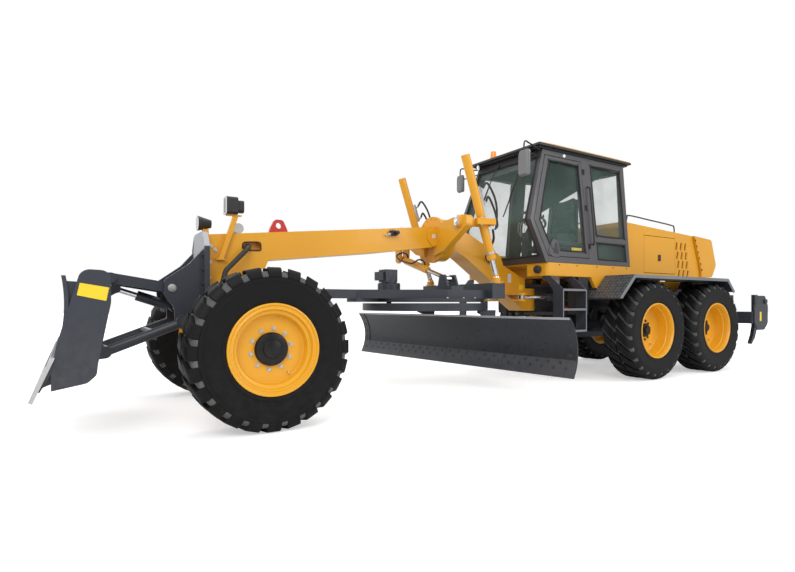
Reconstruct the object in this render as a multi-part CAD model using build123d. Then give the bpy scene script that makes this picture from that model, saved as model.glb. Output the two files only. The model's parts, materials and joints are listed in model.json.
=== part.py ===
from build123d import *
import os
from math import atan2, cos, degrees, hypot, pi, radians, sin, sqrt, tan

# Articulated motor grader with a front dozer blade and a rear ripper.
# Millimetres. +X forward, +Y to the machine's left, Z up from the ground.

# ---------------------------------------------------------------- driving dimensions
wheelbase = 6100              # front axle to the centre of the tandems
tandem_spacing = 1538         # between the two rear axles of a tandem
front_axle_x = 3720
tyre_radius = 674
tyre_width = 445
bead_radius = 356
front_wheel_y = 1100
rear_wheel_y = 1050
frame_half = 150              # half width of the front frame's box beam
hinge = (-330, 0)             # articulation axis, seen from above
circle = (1390, 0)            # centre of the blade's circle
blade_angle = 5.3             # the blade stands turned by this much, left end back
blade_length = 3930
pin_gap = 0.05                # running clearance of a pin in its bore
side = {"left": 1, "right": -1}

tandem_x = front_axle_x - wheelbase
mid_axle_x = tandem_x + tandem_spacing / 2
rear_axle_x = tandem_x - tandem_spacing / 2
nodes = {}


# ---------------------------------------------------------------- small makers
def block(x, y, z):
    """A box from (low, high) pairs along each axis."""
    return Pos((x[0] + x[1]) / 2, (y[0] + y[1]) / 2, (z[0] + z[1]) / 2) * Box(
        x[1] - x[0], y[1] - y[0], z[1] - z[0]
    )


def outline(points):
    """A closed face from (a, b) corners; a third number rounds that corner."""
    face = make_face(Polyline(*[point[:2] for point in points], close=True)).face()
    for a, b, radius in [point for point in points if len(point) == 3]:
        corner = face.vertices().sort_by_distance((a, b, 0))[0]
        face = face.fillet_2d(radius, [corner])
    return face


def side_plate(points, low_y, high_y):
    """An outline of (x, z) points, thick from low_y to high_y."""
    plane = Plane(origin=(0, high_y, 0), x_dir=(1, 0, 0), z_dir=(0, -1, 0))
    return extrude(plane * outline(points), high_y - low_y)


def deck_plate(points, low_z, high_z):
    """An outline of (x, y) points, thick from low_z to high_z."""
    return extrude(Pos(0, 0, low_z) * outline(points), high_z - low_z)


def cross_plate(points, low_x, high_x):
    """An outline of (y, z) points, thick from low_x to high_x."""
    plane = Plane(origin=(low_x, 0, 0), x_dir=(0, 1, 0), z_dir=(1, 0, 0))
    return extrude(plane * outline(points), high_x - low_x)


def bar(start, end, radius):
    """A round bar between two points."""
    run = Vector(*end) - Vector(*start)
    return Plane(origin=start, z_dir=run) * Cylinder(
        radius, run.length, align=(Align.CENTER, Align.CENTER, Align.MIN)
    )


def along(start, end, distance):
    """The point at a distance from start towards end."""
    run = (Vector(*end) - Vector(*start)).normalized()
    return tuple(Vector(*start) + run * distance)


def turned(profile, centre):
    """A (radius, offset) profile turned about an axle along Y."""
    return Pos(*centre) * revolve(outline(profile), Axis.Y)


def mirrored(piece):
    return mirror(piece, Plane.XZ)


def flipped(profile, y_sign):
    return [(r, y_sign * t) for r, t in profile]


def pair(y_sign, inner, outer):
    """The (low, high) pair of a stretch along Y on one side."""
    return tuple(sorted((y_sign * inner, y_sign * outer)))


def hose(points, radius, bend):
    """A hose of straight runs joined by arcs of one radius."""
    line = FilletPolyline(*points, radius=bend)
    return sweep(Plane(origin=line @ 0, z_dir=line % 0) * Circle(radius), path=line)


def keep(name, *pieces):
    nodes[name] = pieces


# ---------------------------------------------------------------- front frame
# Box beam that rises to the saddle, arches over the circle and ends in the hinge knuckle.
knuckle_z = (945, 1255)
beam_profile = [
    (4010, 1710), (2120, 1910), (1310, 2000), (1080, 2010, 250), (832, 1955, 300), (268, 1690, 60),
    (212, 1560), (-150, 1395, 30), (-190, 1395), (-190, knuckle_z[1]), (hinge[0], knuckle_z[1]),
    (hinge[0], knuckle_z[0]), (-170, knuckle_z[0]), (960, 1705, 600), (1310, 1750), (2110, 1640),
    (3410, 1490), (3450, 1400, 30), (3560, 1400, 30), (3600, 1010), (4010, 1010),
]
hinge_pin_radius = 50
knuckle_radius = 140
swivel = (3450, 0, 1150)      # where the drawbar's nose turns and tips
swivel_pin = 30
lug_z = ((1055, 1085), (1215, 1245))

front_frame = side_plate(beam_profile, -frame_half, frame_half)
front_frame -= block((-700, hinge[0] + 60), (-300, 300), (900, 1300))
front_frame += Pos(*hinge, sum(knuckle_z) / 2) * Cylinder(knuckle_radius, knuckle_z[1] - knuckle_z[0])
front_frame -= Pos(*hinge, 1100) * Cylinder(hinge_pin_radius + pin_gap, 500)
for low, high in lug_z:
    lug = block((swivel[0], 3605), (-55, 55), (low, high))
    lug += Pos(swivel[0], 0, (low + high) / 2) * Cylinder(55, high - low)
    front_frame += lug - Pos(swivel[0], 0, (low + high) / 2) * Cylinder(swivel_pin + pin_gap, 100)
# fork plates for the rods of the two articulation cylinders
artic_front = (120, 400, 1130)
artic_base = (-1000, 420, 1130)
eye_half, fork_gap, fork_wall = 24, 6, 22
fork_low = artic_front[2] - eye_half - fork_gap - fork_wall
fork_high = artic_front[2] + eye_half + fork_gap + fork_wall
for y_sign in side.values():
    for low in (fork_low, fork_high - fork_wall):
        ear = deck_plate(
            [(artic_front[0] - 190, y_sign * 140), (artic_front[0] + 30, y_sign * 140),
             (artic_front[0] + 60, y_sign * 420), (artic_front[0] - 60, y_sign * 420)],
            low, low + fork_wall,
        )
        ear += Pos(artic_front[0], y_sign * artic_front[1], low + fork_wall / 2) * Cylinder(60, fork_wall)
        front_frame += ear
# lifting eye on the beam's back
eye_x, eye_z = 3260, 1870
eye_foot, eye_top = 1775, 1932
lifting_eye = side_plate(
    [(eye_x - 105, eye_foot), (eye_x + 105, eye_foot), (eye_x + 92, 1830), (eye_x + 45, eye_top, 40),
     (eye_x - 45, eye_top, 40), (eye_x - 92, 1830)], -20, 20)
lifting_eye -= Pos(eye_x, 0, eye_z) * Rot(90, 0, 0) * Cylinder(32, 60)
front_frame += lifting_eye
# oval hose ports in the beam's sides
port = [(3488, 1580, 44), (3677, 1572, 44), (3677, 1662, 44), (3488, 1670, 44)]
port_depth = 60
for y_sign in side.values():
    front_frame -= side_plate(port, *pair(y_sign, frame_half - port_depth, frame_half + 10))
keep("front_frame", front_frame)

# ---------------------------------------------------------------- blade lift saddle
# A round collar round the beam, with an arm each side that carries a lift cylinder's yoke.
saddle_x = (1105, 1295)
saddle_z = 1850
saddle_radius = 290
lift_top = (1300, 700, 2760)
lift_foot = (820, 700, 1355)
lift_pivot = (1040, 700, 2000)
yoke_turn = atan2(lift_foot[1], swivel[0] - lift_foot[0])      # yoke axis points at the swivel
yoke_axis = (cos(yoke_turn), -sin(yoke_turn), 0)
trunnion_radius = 45

saddle_rim, saddle_step = 45, 22   # the collar's front flange stands proud of its drum
collar = bar((saddle_x[0], 0, saddle_z), (saddle_x[1], 0, saddle_z), saddle_radius - saddle_step)
collar += bar((saddle_x[1] - saddle_rim, 0, saddle_z), (saddle_x[1], 0, saddle_z), saddle_radius)
arm_front = 1330
for y_sign in side.values():
    arm = cross_plate(
        [(y_sign * 100, 1640), (y_sign * 300, 1680, 80), (y_sign * 760, 1950, 40), (y_sign * 760, 2065, 40),
         (y_sign * 640, 2075), (y_sign * 330, 2040, 200), (y_sign * 100, 1990)],
        arm_front - 90, arm_front,
    )
    axis_at = Vector(lift_pivot[0], y_sign * lift_pivot[1], lift_pivot[2])
    axis_run = Vector(yoke_axis[0], y_sign * yoke_axis[1], 0)
    arm += bar(tuple(axis_at + axis_run * 150), tuple(axis_at + axis_run * 330), 75)
    arm -= bar(tuple(axis_at + axis_run * 100), tuple(axis_at + axis_run * 400), trunnion_radius + pin_gap)
    collar += arm
collar -= side_plate(beam_profile, -frame_half, frame_half)
# ear under the right arm for the centre-shift cylinder
shift_base = (1375, -560, 1640)
shift_foot = (1365, 450, 1340)
shift_ear_gap, shift_ear_wall = 46, 25
for low in (shift_base[0] - shift_ear_gap - shift_ear_wall, shift_base[0] + shift_ear_gap):
    collar += cross_plate([(-620, 1600), (-500, 1600), (-480, 1880), (-640, 1880)], low, low + shift_ear_wall)
    collar += bar((low, *shift_base[1:]), (low + shift_ear_wall, *shift_base[1:]), 60)
shift_ear_reach = shift_ear_gap + shift_ear_wall
collar += block((shift_base[0] - shift_ear_reach, shift_base[0] + shift_ear_reach), (-620, -500), (1800, 1900))
collar -= side_plate(beam_profile, -frame_half, frame_half)
keep("blade_lift_saddle", collar)

# ---------------------------------------------------------------- dozer bracket on the nose
dozer_low = (4240, 880)       # lower arm pin, x and z
dozer_high = (4330, 1190)     # upper link pin
dozer_ram = (4270, 1010)      # cylinder base pin
dozer_arm_y = 320
dozer_arm_half = 45           # half the width of an arm
dozer_pin = 30
cheek_y = (225, 265)
bracket_half = 307
bracket_plate = cross_plate(
    [(-bracket_half, 1000), (bracket_half, 1000), (bracket_half, 1590, 60), (200, 1735, 110), (-200, 1735, 110),
     (-bracket_half, 1590, 60)], 4010, 4060)
for y_sign in side.values():
    cheek = side_plate(
        [(4060, 1010), (4060, 1560), (4180, 1420, 120), (4395, 1260, 50), (4395, 1120, 50), (4310, 1010, 60),
         (4300, 815, 50), (4190, 815, 50)],
        *pair(y_sign, *cheek_y),
    )
    cheek += bar((dozer_low[0], y_sign * (cheek_y[1] - 5), dozer_low[1]), (dozer_low[0], y_sign * 372, dozer_low[1]), 40)
    bracket_plate += cheek
for x, z in (dozer_high, dozer_ram):
    bracket_plate += bar((x, -cheek_y[0] - 20, z), (x, cheek_y[0] + 20, z), dozer_pin)
keep("dozer_bracket", bracket_plate)

# ---------------------------------------------------------------- lamps and hose on the nose


def beam_top(x):
    """Height of the beam's back between the nose and the saddle."""
    (x0, z0), (x1, z1) = beam_profile[:2]
    return z0 + (x0 - x) * (z1 - z0) / (x0 - x1)


side_y = frame_half + 1       # fittings stand on the beam's side
tall_post = side_plate([(3845, 1468), (3930, 1468), (3930, 1480), (3908, 1480), (3770, 1903), (3830, 1903),
                        (3830, 1915), (3690, 1915), (3690, 1903), (3722, 1903), (3862, 1480), (3845, 1480)],
                       side_y, side_y + 45)
tall_lamp = cross_plate([(90, 1916, 30), (240, 1916, 30), (240, 2086, 30), (90, 2086, 30)], 3735, 3844)
tall_lamp += cross_plate([(115, 1940, 30), (215, 1940, 30), (215, 2060, 30), (115, 2060, 30)], 3672, 3740)
low_lamp_y = -100
stand = side_plate([(3945, beam_top(3945) + 1), (4000, beam_top(4000) + 1), (4000, 1790), (3945, 1790)],
                   low_lamp_y - 30, low_lamp_y + 30)
low_lamp = Plane(origin=(3984, low_lamp_y, 1845), z_dir=(1, 0, 0)) * Cone(40, 76, 130)
reservoir = bar((3690, -60, beam_top(3690) + 58), (3690, 70, beam_top(3690) + 58), 52)
nose_hose = hose([(3600, 100, 1622), (3640, 230, 1590), (3860, 255, 1360), (3920, 270, 1100), (3920, 152, 1100)], 24, 100)
keep("nose_fittings", tall_post + tall_lamp, stand + low_lamp, reservoir, nose_hose)

# ---------------------------------------------------------------- front axle
lean_pin = (front_axle_x, 700, 560)     # wheel lean axis
kingpin_y = 830
lean_pin_radius = 35
axle = block((front_axle_x - 95, front_axle_x + 95), (-600, 600), (530, 760))
axle += cross_plate([(-260, 750), (260, 750), (140, 1010), (-140, 1010)], front_axle_x - 120, front_axle_x + 60)
for y_sign in side.values():
    for x_low in (front_axle_x - 95, front_axle_x + 55):
        fork = block((x_low, x_low + 40), pair(y_sign, 560, 700), (500, 604))
        fork += Pos(x_low + 20, y_sign * 700, 560) * Rot(0, 90, 0) * Cylinder(60, 40)
        axle += fork
    axle += bar((front_axle_x - 95, y_sign * 700, 560), (front_axle_x + 95, y_sign * 700, 560), lean_pin_radius)
keep("front_axle", axle)

# lean brackets, knuckles
knuckle_arm_z = (634, 656)
for name, y_sign in side.items():
    hub = (front_axle_x, y_sign * front_wheel_y, tyre_radius)
    bracket = bar((front_axle_x - 48, y_sign * 700, 560), (front_axle_x + 48, y_sign * 700, 560), 62)
    bracket += side_plate([(front_axle_x - 48, 560), (front_axle_x + 48, 560), (front_axle_x + 48, 900),
                           (front_axle_x - 48, 900)], *sorted((y_sign * 700, y_sign * 745)))
    bracket += block((front_axle_x - 48, front_axle_x + 120), tuple(sorted((y_sign * 690, y_sign * 735))), (850, 900))
    for low, high in ((545, 585), (765, 805)):
        bracket += block((front_axle_x - 48, front_axle_x + 48), tuple(sorted((y_sign * 700, y_sign * kingpin_y))), (low, high))
        bracket += Pos(front_axle_x, y_sign * kingpin_y, (low + high) / 2) * Cylinder(48, high - low)
    bracket -= bar((front_axle_x - 60, y_sign * 700, 560), (front_axle_x + 60, y_sign * 700, 560), lean_pin_radius + pin_gap)
    bracket -= Pos(front_axle_x, y_sign * kingpin_y, 700) * Cylinder(28 + pin_gap, 400)
    bracket -= block((front_axle_x - 60, front_axle_x - 18), pair(y_sign, 690, 750), (knuckle_arm_z[0] - 12, knuckle_arm_z[1] + 12))
    keep(name + "_lean_bracket", bracket)

    knuckle = Pos(front_axle_x, y_sign * kingpin_y, 675) * Cylinder(46, 166)
    knuckle += Pos(front_axle_x, y_sign * kingpin_y, 675) * Cylinder(28, 256)
    knuckle += bar((front_axle_x, y_sign * kingpin_y, tyre_radius), (front_axle_x, y_sign * 1190, tyre_radius), 45)
    knuckle += deck_plate(
        [(front_axle_x, y_sign * (kingpin_y - 25)), (front_axle_x, y_sign * (kingpin_y + 25)),
         (front_axle_x - 235, y_sign * (kingpin_y + 5), 12), (front_axle_x - 235, y_sign * (kingpin_y - 50), 12)],
        *knuckle_arm_z)
    keep(name + "_knuckle", knuckle)

lean_bar_x = front_axle_x + 95
lean_bar = bar((lean_bar_x, -670, 960), (lean_bar_x, 670, 960), 25)
for y_sign in side.values():
    lean_bar += block((lean_bar_x - 25, lean_bar_x + 25), tuple(sorted((y_sign * 630, y_sign * 735))), (907, 965))
keep("lean_tie_bar", lean_bar)
tie_rod_x, tie_rod_y, tie_rod_z = front_axle_x - 215, kingpin_y - 25, 726
tie_rod = bar((tie_rod_x, -tie_rod_y, tie_rod_z), (tie_rod_x, tie_rod_y, tie_rod_z), 20)
for y_sign in side.values():
    tie_rod += Pos(tie_rod_x, y_sign * tie_rod_y, tie_rod_z) * Cylinder(32, 34)
keep("steering_tie_rod", tie_rod)

# ---------------------------------------------------------------- wheels
# (radius, offset) outlines; the offset is outwards from the tyre's middle
tyre_outline = [
    (bead_radius + 0.3, -185), (450, -215), (560, -222), (630, -212), (tyre_radius, -165),
    (tyre_radius, 165), (630, 212), (560, 222), (450, 215), (bead_radius + 0.3, 185),
]
front_rim_outline = [
    (50, 95), (50, 60), (250, 60), (300, 20), (330, -180), (375, -200), (375, -190.4), (bead_radius, -189.9),
    (bead_radius, 189.9), (375, 190.4), (375, 205), (345, 205), (330, 150), (290, 105), (200, 95),
]
rear_rim_outline = [
    (50, -20), (50, -60), (200, -60), (290, -60), (320, -180), (375, -200), (375, -190.4), (bead_radius, -189.9),
    (bead_radius, 189.9), (375, 190.4), (375, 205), (345, 205), (325, 120), (300, -20),
]


wheel_places = {
    "left_front": (front_axle_x, front_wheel_y, front_rim_outline, 1),
    "right_front": (front_axle_x, front_wheel_y, front_rim_outline, -1),
    "left_middle": (mid_axle_x, rear_wheel_y, rear_rim_outline, 1),
    "right_middle": (mid_axle_x, rear_wheel_y, rear_rim_outline, -1),
    "left_rear": (rear_axle_x, rear_wheel_y, rear_rim_outline, 1),
    "right_rear": (rear_axle_x, rear_wheel_y, rear_rim_outline, -1),
}
hub_radius = 95
for name, (x, y, rim, y_sign) in wheel_places.items():
    centre = (x, y_sign * y, tyre_radius)
    tyre = turned(flipped(tyre_outline, y_sign), centre)
    wheel = turned(flipped(rim, y_sign), centre)
    if rim is front_rim_outline:
        hub_offset = (50, 150)
        bore = 45 + pin_gap
    else:
        hub_offset = (-70, 60)
        bore = 45 + pin_gap
    hub = bar((x, y_sign * (y + hub_offset[0]), tyre_radius), (x, y_sign * (y + hub_offset[1]), tyre_radius), hub_radius)
    wheel += hub
    wheel -= bar((x, y_sign * (y - 300), tyre_radius), (x, y_sign * (y + hub_offset[1] - 20), tyre_radius), bore)
    keep(name + "_wheel", tyre, wheel)

# ---------------------------------------------------------------- rear frame
rail_y = (230, 310)
rail_z = (1000, 1300)
hinge_plate_z = ((880, 930), (1270, 1320))
rear_end = -4290
rear_frame = Pos(*hinge, 1100) * Cylinder(hinge_pin_radius, 480)
for low, high in hinge_plate_z:
    plate = deck_plate([(hinge[0], -120), (hinge[0], 120), (-640, 310), (-900, 310), (-900, -310), (-640, -310)], low, high)
    rear_frame += plate + Pos(*hinge, (low + high) / 2) * Cylinder(120, high - low)
rear_frame += block((-720, -640), (-310, 310), (880, 1320))
for y_sign in side.values():
    rear_frame += block((rear_end, -640), tuple(sorted((y_sign * rail_y[0], y_sign * rail_y[1]))), rail_z)
    # base ears of the articulation cylinder
    for low in (fork_low, fork_high - fork_wall):
        ear = deck_plate([(artic_base[0] - 90, y_sign * 300), (artic_base[0] + 90, y_sign * 300),
                          (artic_base[0] + 45, y_sign * 440), (artic_base[0] - 45, y_sign * 440)], low, low + fork_wall)
        rear_frame += ear + Pos(artic_base[0], y_sign * artic_base[1], low + fork_wall / 2) * Cylinder(45, fork_wall)
for x in (-1500, -3300, rear_end + 50):
    rear_frame += block((x - 40, x + 40), (-300, 300), (1020, 1280))
# the rails draw in at the front, beside the articulation cylinders
for y_sign in side.values():
    rear_frame -= deck_plate(
        [(-1000, y_sign * 311), (-600, y_sign * 255), (-600, y_sign * 340), (-1000, y_sign * 340)], 860, 1078)
    rear_frame -= deck_plate(
        [(-900, y_sign * 300), (-600, y_sign * 255), (-600, y_sign * 340), (-900, y_sign * 340)], 1078, 1340)
# rear bumper plate with the ripper's lugs
rear_frame += block((rear_end - 60, rear_end), (-700, 700), (760, 1420))
ripper_pin = (-4450, 900)
ripper_arm_y = (300, 380)
ripper_ram_base = (-4430, 1330)
for y_sign in side.values():
    for y in (ripper_arm_y[0] - 35, ripper_arm_y[1] + 10):
        lug = side_plate([(rear_end - 50, 800), (rear_end - 50, 1020), (ripper_pin[0], 960), (ripper_pin[0], 840)],
                         *sorted((y_sign * y, y_sign * (y + 25))))
        lug += bar((ripper_pin[0], y_sign * y, ripper_pin[1]), (ripper_pin[0], y_sign * (y + 25), ripper_pin[1]), 60)
        rear_frame += lug
    rear_frame += bar((ripper_pin[0], y_sign * (ripper_arm_y[0] - 35), ripper_pin[1]),
                      (ripper_pin[0], y_sign * (ripper_arm_y[1] + 35), ripper_pin[1]), 30)
for y in (-58, 33):
    lug = side_plate([(rear_end - 50, 1240), (rear_end - 50, 1410), (ripper_ram_base[0], 1385), (ripper_ram_base[0], 1275)], y, y + 25)
    lug += bar((ripper_ram_base[0], y, ripper_ram_base[1]), (ripper_ram_base[0], y + 25, ripper_ram_base[1]), 55)
    rear_frame += lug
rear_frame += bar((ripper_ram_base[0], -58, ripper_ram_base[1]), (ripper_ram_base[0], 58, ripper_ram_base[1]), 25)
# posts under the cab floor
for y_sign in side.values():
    for x in (-850, -1550):
        rear_frame += block((x - 50, x + 50), tuple(sorted((y_sign * 230, y_sign * 310))), (1290, 1400))
    # outriggers under the engine housing and the fenders
    for x in (-1780, -2600, -3440):
        rear_frame += block((x - 30, x + 30), tuple(sorted((y_sign * 240, y_sign * 560))), (1290, 1480))
    for x in (-1950, -3380):
        rear_frame += block((x - 40, x + 40), tuple(sorted((y_sign * 300, y_sign * 720))), (1280, 1402))
keep("rear_frame", rear_frame)

# rear axle with the two tandem cases
axle_half = 500
tandem_axle = bar((tandem_x, -axle_half - 20, 720), (tandem_x, axle_half + 20, 720), 150)
tandem_axle += Pos(tandem_x, 0, 720) * Sphere(240)
for y_sign in side.values():
    tandem_axle += block((tandem_x - 170, tandem_x + 170), tuple(sorted((y_sign * 220, y_sign * 320))), (760, 1000))
    tandem_axle += block((rear_axle_x, mid_axle_x), tuple(sorted((y_sign * axle_half, y_sign * 770))), (474, 874))
    for x in (rear_axle_x, mid_axle_x):
        tandem_axle += bar((x, y_sign * axle_half, tyre_radius), (x, y_sign * 770, tyre_radius), 200)
        tandem_axle += bar((x, y_sign * 760, tyre_radius), (x, y_sign * (rear_wheel_y + 30), tyre_radius), 45)
keep("tandem_axle", tandem_axle)

# ---------------------------------------------------------------- cab
floor_z = (1400, 1570)
cab_low_half, cab_high_half = 800, 640
cab_low_z, cab_high_z = 1570, 3060
cab_side = [(80, cab_low_z), (300, 2110), (-20, cab_high_z), (-1700, cab_high_z), (-1640, cab_low_z)]
wall = 55


def cab_prism(inset):
    """The cab's closed outer form, drawn in by inset on every side."""
    (x0, z0), (x1, z1), (x2, z2), (x3, z3), (x4, z4) = cab_side
    profile = [(x0 - inset, z0), (x1 - inset, z1), (x2 - inset, z2), (x3 + inset, z3), (x4 + inset, z4)]
    trapezoid = [
        (-cab_low_half + inset, cab_low_z), (cab_low_half - inset, cab_low_z),
        (cab_high_half - inset, cab_high_z), (-cab_high_half + inset, cab_high_z),
    ]
    return side_plate(profile, -1000, 1000) & cross_plate(trapezoid, -2000, 1000)


door_outline = [(30, 1650), (235, 2110), (-55, 2990), (-760, 2990), (-760, 1650)]
quarter_outline = [(-950, 1980), (-950, 2960), (-1590, 2960), (-1570, 1980)]
lower_outline = [(-950, 1650), (-950, 1880), (-1560, 1880), (-1555, 1650)]
cab_wall = cab_prism(0) - cab_prism(wall)
cab_shell = cab_wall
door_cut = side_plate(door_outline, 500, 1000) + side_plate(door_outline, -1000, -500)
cab_shell -= door_cut
for y_low in (500, -1000):
    cab_shell -= side_plate(quarter_outline, y_low, y_low + 500)
    cab_shell -= side_plate(lower_outline, y_low, y_low + 500)
cab_shell -= cross_plate([(-700, 1660), (700, 1660), (660, 2110), (580, 2960), (-580, 2960), (-660, 2110)], -10, 400)
cab_shell -= cross_plate([(-640, 2000), (640, 2000), (560, 2960), (-560, 2960)], -1800, -1600)
# platform: a box with a recess over the gooseneck, side skirts that drop behind the ladders, and a
# tank under each side
skirt = [(-783, 1405), (-876, 1253, 30), (-1640, 1253), (-1640, 1405)]
skirt_y = (745, 800)
platform_front = 60
cab_floor = deck_plate(
    [(-1640, -800), (platform_front, -800, 50), (platform_front, 800, 50), (-1640, 800)], *floor_z)
for y_sign in side.values():
    cab_floor += side_plate(skirt, *pair(y_sign, *skirt_y))
    cab_floor += block((-740, -540), pair(y_sign, 610, 790), (900, floor_z[0] + 5))
cab_floor -= block((-400, 80), (-440, 440), (1300, 1550))
keep("cab_shell", cab_shell)
keep("cab_floor", cab_floor)

# roof cap: crowned from front to back and towards its sides, on a flat ceiling panel
roof_low = 3085
roof_side = [(105, roof_low), (95, 3120, 20), (-350, 3185, 500), (-1000, 3215, 900), (-1790, 3150, 20), (-1800, roof_low)]
roof_cross = [(-705, 3000), (705, 3000), (705, 3115, 40), (560, 3190, 200), (240, 3230), (-240, 3230),
              (-560, 3190, 200), (-705, 3115, 40)]
roof = side_plate(roof_side, -705, 705) & cross_plate(roof_cross, -1900, 200)
roof += block((-1770, 60), (-655, 655), (3063, roof_low + 5))
beacon = (-200, -520)
beacon_z = (3150, 3225, 3320)
roof += Pos(*beacon, sum(beacon_z[:2]) / 2) * Cylinder(55, beacon_z[1] - beacon_z[0])
roof += Pos(*beacon, sum(beacon_z[1:]) / 2) * Cone(50, 38, beacon_z[2] - beacon_z[1])
keep("cab_roof", roof)

door_shrink = 6
for name, y_sign in side.items():
    leaf_outline = [(30 - door_shrink, 1650 + door_shrink), (235 - door_shrink, 2110), (-55 - door_shrink, 2990 - door_shrink),
                    (-760 + door_shrink, 2990 - door_shrink), (-760 + door_shrink, 1650 + door_shrink)]
    glass_outline = [(-50, 1740), (130, 2110), (-125, 2920), (-690, 2920), (-690, 1740)]
    half = side_plate(leaf_outline, 500, 1000) - side_plate(glass_outline, 400, 1100)
    door = cab_wall & half
    if y_sign < 0:
        door = mirrored(door)
    keep(name + "_cab_door", door)

seat_x = -1000
seat_base = block((seat_x - 180, seat_x + 180), (-180, 180), (floor_z[1], 1900))
seat_base += block((seat_x - 245, seat_x + 250), (-245, 245), (1890, 1950))
seat_base += block((seat_x - 245, seat_x - 215), (-200, 200), (1940, 2600))
keep("seat_base", seat_base)
cushion = block((seat_x - 205, seat_x + 250), (-240, 240), (1955, 2075))
cushion += block((seat_x - 205, seat_x - 95), (-240, 240), (2065, 2640))
keep("seat_cushion", cushion)
column_foot, column_head = (-375, 0, 2050), (-505, 0, 2250)
console = block((-420, -330), (-60, 60), (floor_z[1], 2060))
console += bar(column_foot, column_head, 30)
column_lean = degrees(atan2(column_foot[0] - column_head[0], column_head[2] - column_foot[2]))
console += Pos(*column_head) * Rot(0, -column_lean, 0) * (
    Cylinder(200, 26) - Cylinder(172, 30) + Box(360, 40, 20) + Cylinder(50, 26)
)
keep("steering_console", console)

# ---------------------------------------------------------------- engine housing
hood_front = -1720
hood_half = 560
hood_low = 1480
hood_wall = 25
bay_door_x = (-3180, -2330)
bay_door_z = (1520, 2110)
hood_profile = [(hood_front, hood_low), (hood_front, 2190), (-1800, 2276, 50), (-3678, 2185), (-3892, 1609),
                (-3892, hood_low)]
hood_room = [(hood_front - hood_wall, hood_low - 10), (hood_front - hood_wall, 2180), (-1812, 2250),
             (-3660, 2161), (-3867, 1604), (-3867, hood_low - 10)]
hood = side_plate(hood_profile, -hood_half, hood_half)
hood -= side_plate(hood_room, -hood_half + hood_wall, hood_half - hood_wall)
hood -= block(bay_door_x, (-700, 700), bay_door_z)
# the radiator's box closes the back
radiator = side_plate(
    [(-3688, 2184), (-4223, 2150, 70), (-4374, 1707, 90), (-4240, 1500, 60), (-3902, 1490), (-3902, 1609)], -600, 600)
keep("hood", hood, radiator)
for name, y_sign in side.items():
    leaf = block((bay_door_x[0] + 6, bay_door_x[1] - 6), (hood_half - hood_wall, hood_half), (bay_door_z[0] + 6, bay_door_z[1] - 6))
    keep(name + "_engine_door", leaf if y_sign > 0 else mirrored(leaf))
keep("engine_block", block((-3300, -1950), (-220, 220), (1310, 2050)))

fender_profile = [(-780, 1100), (-1080, 1402), (-3432, 1402), (-3622, 1222), (-3642, 1238), (-3445, 1430),
                  (-1070, 1430), (-760, 1118)]
fenders = []
for y_sign in side.values():
    fender = side_plate(fender_profile, *sorted((y_sign * 620, y_sign * 1270)))
    fender -= block((-1655, 100), pair(y_sign, 600, 812), (1235, 1600))
    fenders.append(fender)
keep("fenders", *fenders)

# ---------------------------------------------------------------- ladders
stringer = [(700, floor_z[0]), (700, 1345), (785, 1325), (880, 1205), (880, 690), (1040, 690), (1040, 1225, 40),
            (820, floor_z[0])]
stringer_x = (-400, 25)
stringer_wall = 16
ladders = []
for y_sign in side.values():
    ladder = block((stringer_x[0], stringer_x[1] + stringer_wall), pair(y_sign, 880, 1040), (690, 712))
    for z in (960, 1205):
        ladder += block((stringer_x[0], stringer_x[1] + stringer_wall), pair(y_sign, 880, 1040), (z, z + 22))
    for x in stringer_x:
        ladder += cross_plate([(y_sign * point[0], *point[1:]) for point in stringer], x, x + stringer_wall)
    ladders.append(ladder)
keep("access_ladders", *ladders)

# ---------------------------------------------------------------- articulation cylinders
artic_rod_radius = 24
for name, y_sign in side.items():
    front = (artic_front[0], y_sign * artic_front[1], artic_front[2])
    base = (artic_base[0], y_sign * artic_base[1], artic_base[2])
    barrel = Pos(*base) * Cylinder(40, 2 * eye_half)
    barrel += bar(along(base, front, 20), along(base, front, 120), 20)
    barrel += bar(along(base, front, 95), along(base, front, 690), 50)
    barrel -= bar(along(base, front, 130), along(base, front, 700), artic_rod_radius + pin_gap)
    keep(name + "_steer_ram_barrel", barrel)
    rod = Pos(*front) * Cylinder(40, 2 * eye_half)
    keep(name + "_steer_ram_rod", rod + bar(along(front, base, 10), along(front, base, 700), artic_rod_radius))

# ---------------------------------------------------------------- drawbar, circle and blade
swivel_block = Pos(*swivel) * Cylinder(50, 120)
swivel_block += Pos(*swivel) * Cylinder(swivel_pin, 190)
swivel_block += bar((swivel[0], -105, swivel[2]), (swivel[0], 105, swivel[2]), swivel_pin)
keep("drawbar_swivel", swivel_block)

# circle drive: a pinion inside the ring's teeth
module = 17
ring_teeth, pinion_teeth = 72, 11
ring_pitch, pinion_pitch = module * ring_teeth / 2, module * pinion_teeth / 2
pressure = radians(20)
addendum, dedendum = 0.8 * module, 1.15 * module
backlash = 1.6                # play along the pitch circle, shared by both flanks of a tooth
ring_radius = (ring_pitch + dedendum, 775)
pinion_at = (circle[0] + ring_pitch - pinion_pitch, circle[1])
pinion_shaft = 30


def flank_angle(pitch, teeth, radius, play):
    """Half the angle that a tooth of involute flanks fills at a radius."""
    base = pitch * cos(pressure)
    lean = sqrt(max((radius / base) ** 2 - 1, 0)) - atan2(sqrt(max((radius / base) ** 2 - 1, 0)), 1)
    return pi / (2 * teeth) - play / (2 * pitch) + tan(pressure) - pressure - lean


def toothed(pitch, teeth, radii, play, first):
    """The outline of a gear with involute flanks through the given radii."""
    points = []
    for tooth in range(teeth):
        middle = first + 2 * pi * tooth / teeth
        half = [(radius, flank_angle(pitch, teeth, radius, play)) for radius in radii]
        points += [(r * cos(middle - a), r * sin(middle - a)) for r, a in half]
        points += [(r * cos(middle + a), r * sin(middle + a)) for r, a in reversed(half)]
    return points


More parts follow.
